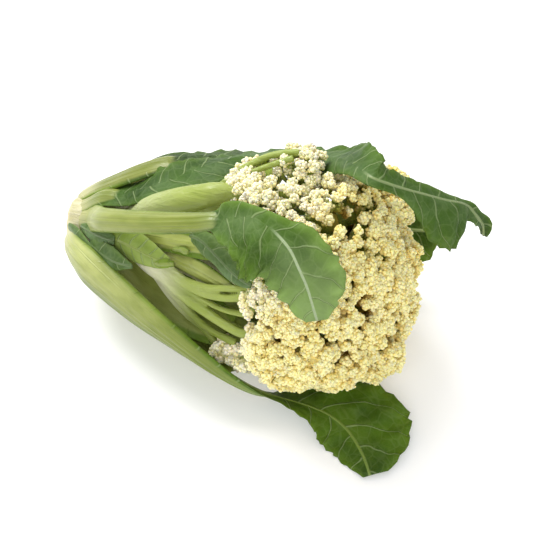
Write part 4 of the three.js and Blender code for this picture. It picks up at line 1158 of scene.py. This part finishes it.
def curd_material():
    """Curd: creamy yellow, with painted light on the open bud tips and painted shade down the sides of each small
    head and in the creases between buds; deep down, where the stalks begin, green tissue darkened with painted
    shade.
    """
    material, t, surface = new_material(
        "curd_skin", roughness=0.7, specular_ior_level=0.18, subsurface_weight=0.5,
        subsurface_radius=(0.0016, 0.0012, 0.0006),
    )
    spot = t.spot()
    height, bud, pale, tone, open_side = (t.mark(name) for name in ("height", "bud", "pale", "tone", "open"))
    patches = t.ramp(t.noise(spot, 42.0, 3.0), 0.35, 0.68)
    yellow = t.mix(patches, "fae89a", "fcf0b6")
    yellow = t.mix(t.times(tone, 0.8), yellow, "f6e48e")
    cream = t.mix(t.ramp(t.noise(spot, 75.0), 0.42, 0.66), "f6eebe", "f9e8ce")
    cream = t.mix(t.times(tone, 0.5), cream, "eee8b6")
    body = t.mix(pale, yellow, cream)
    # Painted light: bud tips on the open side of each small head are lightened to a creamy white, like a
    # highlight.
    painted_tip_light = t.mix(pale, "faf0b8", "faeece")
    body = t.mix(t.times(t.ramp(bud, 0.4, 1.0), t.ramp(open_side, 0.2, 1.0, 0.1, 0.6)), body, painted_tip_light)
    # Painted shade: buds that face away from their head's top, down its sides, get a darker yellow.
    side = t.mix(pale, "e8cc7a", "e0d898")
    body = t.mix(t.times(t.ramp(open_side, 0.7, 0.0), 0.75), body, side)
    # Painted shade: the base of each bud, in the creases between buds, gets a darker yellow.
    crease_shade = t.mix(pale, "e4cc7a", "d4d694")
    body = t.mix(t.times(t.ramp(bud, 0.3, 0.0), 0.35), body, crease_shade)
    # Deep in the curd: dark olive and brown, painted shade over the green of the stalk tissue; pale curds get a
    # lighter pale green there.
    deep_green_and_shade = t.mix(patches, "707a22", "86621c")
    deep_green_and_shade = t.mix(t.times(pale, 0.6), deep_green_and_shade, "92aa4a")
    t.set(surface.inputs["Base Color"], t.mix(t.ramp(height, 0.4, 0.02), body, deep_green_and_shade))
    bump(t, surface, t.cells(spot, 900.0), 0.0004, 0.7)
    return material


def stem_material():
    """The main stem: pale green skin, with a cream cut face ringed by its fibres."""
    material, t, surface = new_material(
        "stem_skin", roughness=0.5, subsurface_weight=0.2, subsurface_radius=(0.002, 0.002, 0.001)
    )
    spot = t.spot()
    fibre = lengthwise_fibre(t, spot, 500.0)
    skin = t.mix(fibre["Patches"], "a0a864", "bebc8c")
    skin = t.mix(t.times(fibre["Lines"], 0.4), skin, "ded6b2")
    butt = t.mix(fibre["Lines"], "b8b088", "d0caaa")
    skin = t.mix(t.times(t.mark("butt"), 0.85), skin, butt)
    flesh = t.mix(t.ramp(t.noise(spot, 130.0, 3.0), 0.35, 0.65), "e2d6ac", "ceba8a")
    pores = t.ramp(t.cells(spot, 620.0), 0.15, 0.4, 0.5, 0.0)
    flesh = t.mix(pores, flesh, "b09e6e")
    t.set(surface.inputs["Base Color"], t.mix(t.mark("cut"), skin, flesh))
    bump(t, surface, t.math("ADD", fibre["Lines"], pores), 0.0004, 0.8)
    return material


# ------------------------------------------------------------------ floor, light and camera
HEAD_MIDDLE = (0, 0, 0.05)
CAMERA_AT = np.array((359.01, -679.79, 952.81))  # in millimetres in the head's own frame, as its aim is
CAMERA_AIM = np.array((34.97, -15.39, 71.86))
FOCAL_LENGTH = 121.19


def aimed(obj, place, target):
    """Puts a lamp or a camera at a place, turned to its target."""
    obj.location = place
    obj.rotation_euler = Vector(np.subtract(target, place)).to_track_quat("-Z", "Y").to_euler()
    return obj


def panel(name, place, size, power):
    """A round soft light that faces the head."""
    light = bpy.data.lights.new(name, "AREA")
    light.shape, light.size, light.energy = "DISK", size, power
    aimed(put_in_scene(name, light), place, HEAD_MIDDLE)


def studio():
    """A pale floor, two soft panels, a bright room and the camera."""
    bpy.ops.object.select_all(action="DESELECT")
    bpy.ops.mesh.primitive_plane_add(size=6)
    floor = bpy.context.object
    floor.name = "floor"
    material, _, _ = new_material(
        "studio_floor", base_color=(0.8, 0.8, 0.8, 1), roughness=0.9, emission_color=(1, 1, 1, 1),
        emission_strength=0.2,
    )
    floor.data.materials.append(material)
    panel("key_panel", (-0.94, 0.46, 1.35), 1.1, 32)
    panel("front_panel", (0.5, -1.3, 1.1), 1.2, 11)
    scene = bpy.context.scene
    scene.world = bpy.data.worlds.new("studio_air")
    scene.world.use_nodes = True
    air = scene.world.node_tree.nodes["Background"].inputs
    air["Color"].default_value, air["Strength"].default_value = (1, 1, 1, 1), 0.74
    scene.view_settings.view_transform = "Standard"
    lens = bpy.data.cameras.new("camera")
    lens.sensor_width, lens.lens = 36, FOCAL_LENGTH
    lens.clip_start, lens.clip_end = 0.05, 20
    place, aim = (CAMERA_AT + HEAD_AT) * MM, (CAMERA_AIM + HEAD_AT) * MM
    scene.camera = aimed(put_in_scene("camera", lens), place, aim)


# ------------------------------------------------------------------ making it
studio()

blade_front = leaf_material(
    "leaf_bloomed", "223e08 3e5c14 708e3a 647a4c 98a054 768428", 0.5, far="9eb08a", lit_tip=0.42,
)
blade_back = leaf_material(
    "leaf_behind", "1a3006 2e4a0e 4e6a20 546a38 788036 74802e", 0.4, stripes=0.25,
)
blade_top = leaf_material(
    "leaf_over", "26420c 3a5816 58742c 5c7448 7c883c 6c7c2c", 0.4, far="829462",
)
blade_dark = leaf_material(
    "leaf_green", "2e4a0c 4a6a18 64822c 5c7434 9ea45e 808c3a", 0.35, spacing=17.0,
)
blade_olive = leaf_material(
    "leaf_pale", "5c6c22 70802e 889642 7c884c 969e4a 7a862a", 0.3,
)
blade_bottom = leaf_material(
    "leaf_dark", "2c4808 4e6c14 607c1e 546c22 bac07e 748428", 0.3, spacing=17.0, stripes=0.16, far="768e3c",
    under=0.7,
)
inner_face = leaf_material(
    "leaf_inside", "889438 98a448 a0ac58 a0aa64 a8b25e 96a446", 0.3,
)
bract_skin = leaf_material(
    "leaf_bract_skin", "768a38 8c9e4e 9cac60 9caa68 889a48 889a48", 0.3, spacing=9.0, line="a0ae62",
)
leaflet_skin = leaf_material(
    "leaf_young", "3c5422 4e662e 688042 68805c 5a7040 5a7040", 0.55, spacing=26.0, line="708654",
)
LEAF_LOOKS = {
    "leaf_front": blade_front, "leaf_bottom": blade_bottom, "leaf_back": blade_back, "leaf_top": blade_top,
    "leaf_rear_low": blade_dark, "leaf_small": leaflet_skin, "leaf_under_front": inner_face,
    "leaf_bract": bract_skin, "leaf_inner": inner_face, "leaf_inner_petiole": inner_face,
    "leaflet_edge": leaflet_skin, "leaflet_middle": leaflet_skin, "leaflet_long": leaflet_skin,
    "leaflet_nub": bract_skin, "leaflet_bud": bract_skin, "leaf_sheath": inner_face,
}
ADDED_LEAVES = {name for name in LEAVES if name.startswith("leaflet")} | {"leaf_inner_petiole", "leaf_sheath"}
leaf_pieces = {}
for seed, (name, leaf) in enumerate(LEAVES.items()):
    leaf_pieces[name] = piece = leaf_piece(name + "_leaf", leaf, seed)
    stands_for = [] if name in ADDED_LEAVES else [name]
    finish_piece(piece, LEAF_LOOKS.get(name, blade_olive), leaf["slot"], *stands_for)

WRAPPING = ("leaf_front", "leaf_bottom", "leaf_back", "leaf_top", "leaf_rear_low", "leaf_rear_high", "leaf_under")
wrap = Leafage([leaf_pieces[name] for name in WRAPPING])
every_leaf = Leafage(leaf_pieces.values())
lay_out_heads(wrap, every_leaf)

stalk_skin = stalk_material()
for seed, (name, branch) in enumerate(BRANCHES.items()):
    finish_piece(branch_mesh(name, branch, seed), stalk_skin, "stalk", name)
finish_piece(main_stem(), stem_material(), "stem", "main_stem")

curd_skin = curd_material()
bud, ball = bud_shape(), small_ball()
for index, curd in enumerate(CURDS):
    piece = curd_mesh(curd, index, bud, ball, every_leaf)
    finish_piece(piece, curd_skin, "pale_curd" if curd.pale else "curd", curd.name)
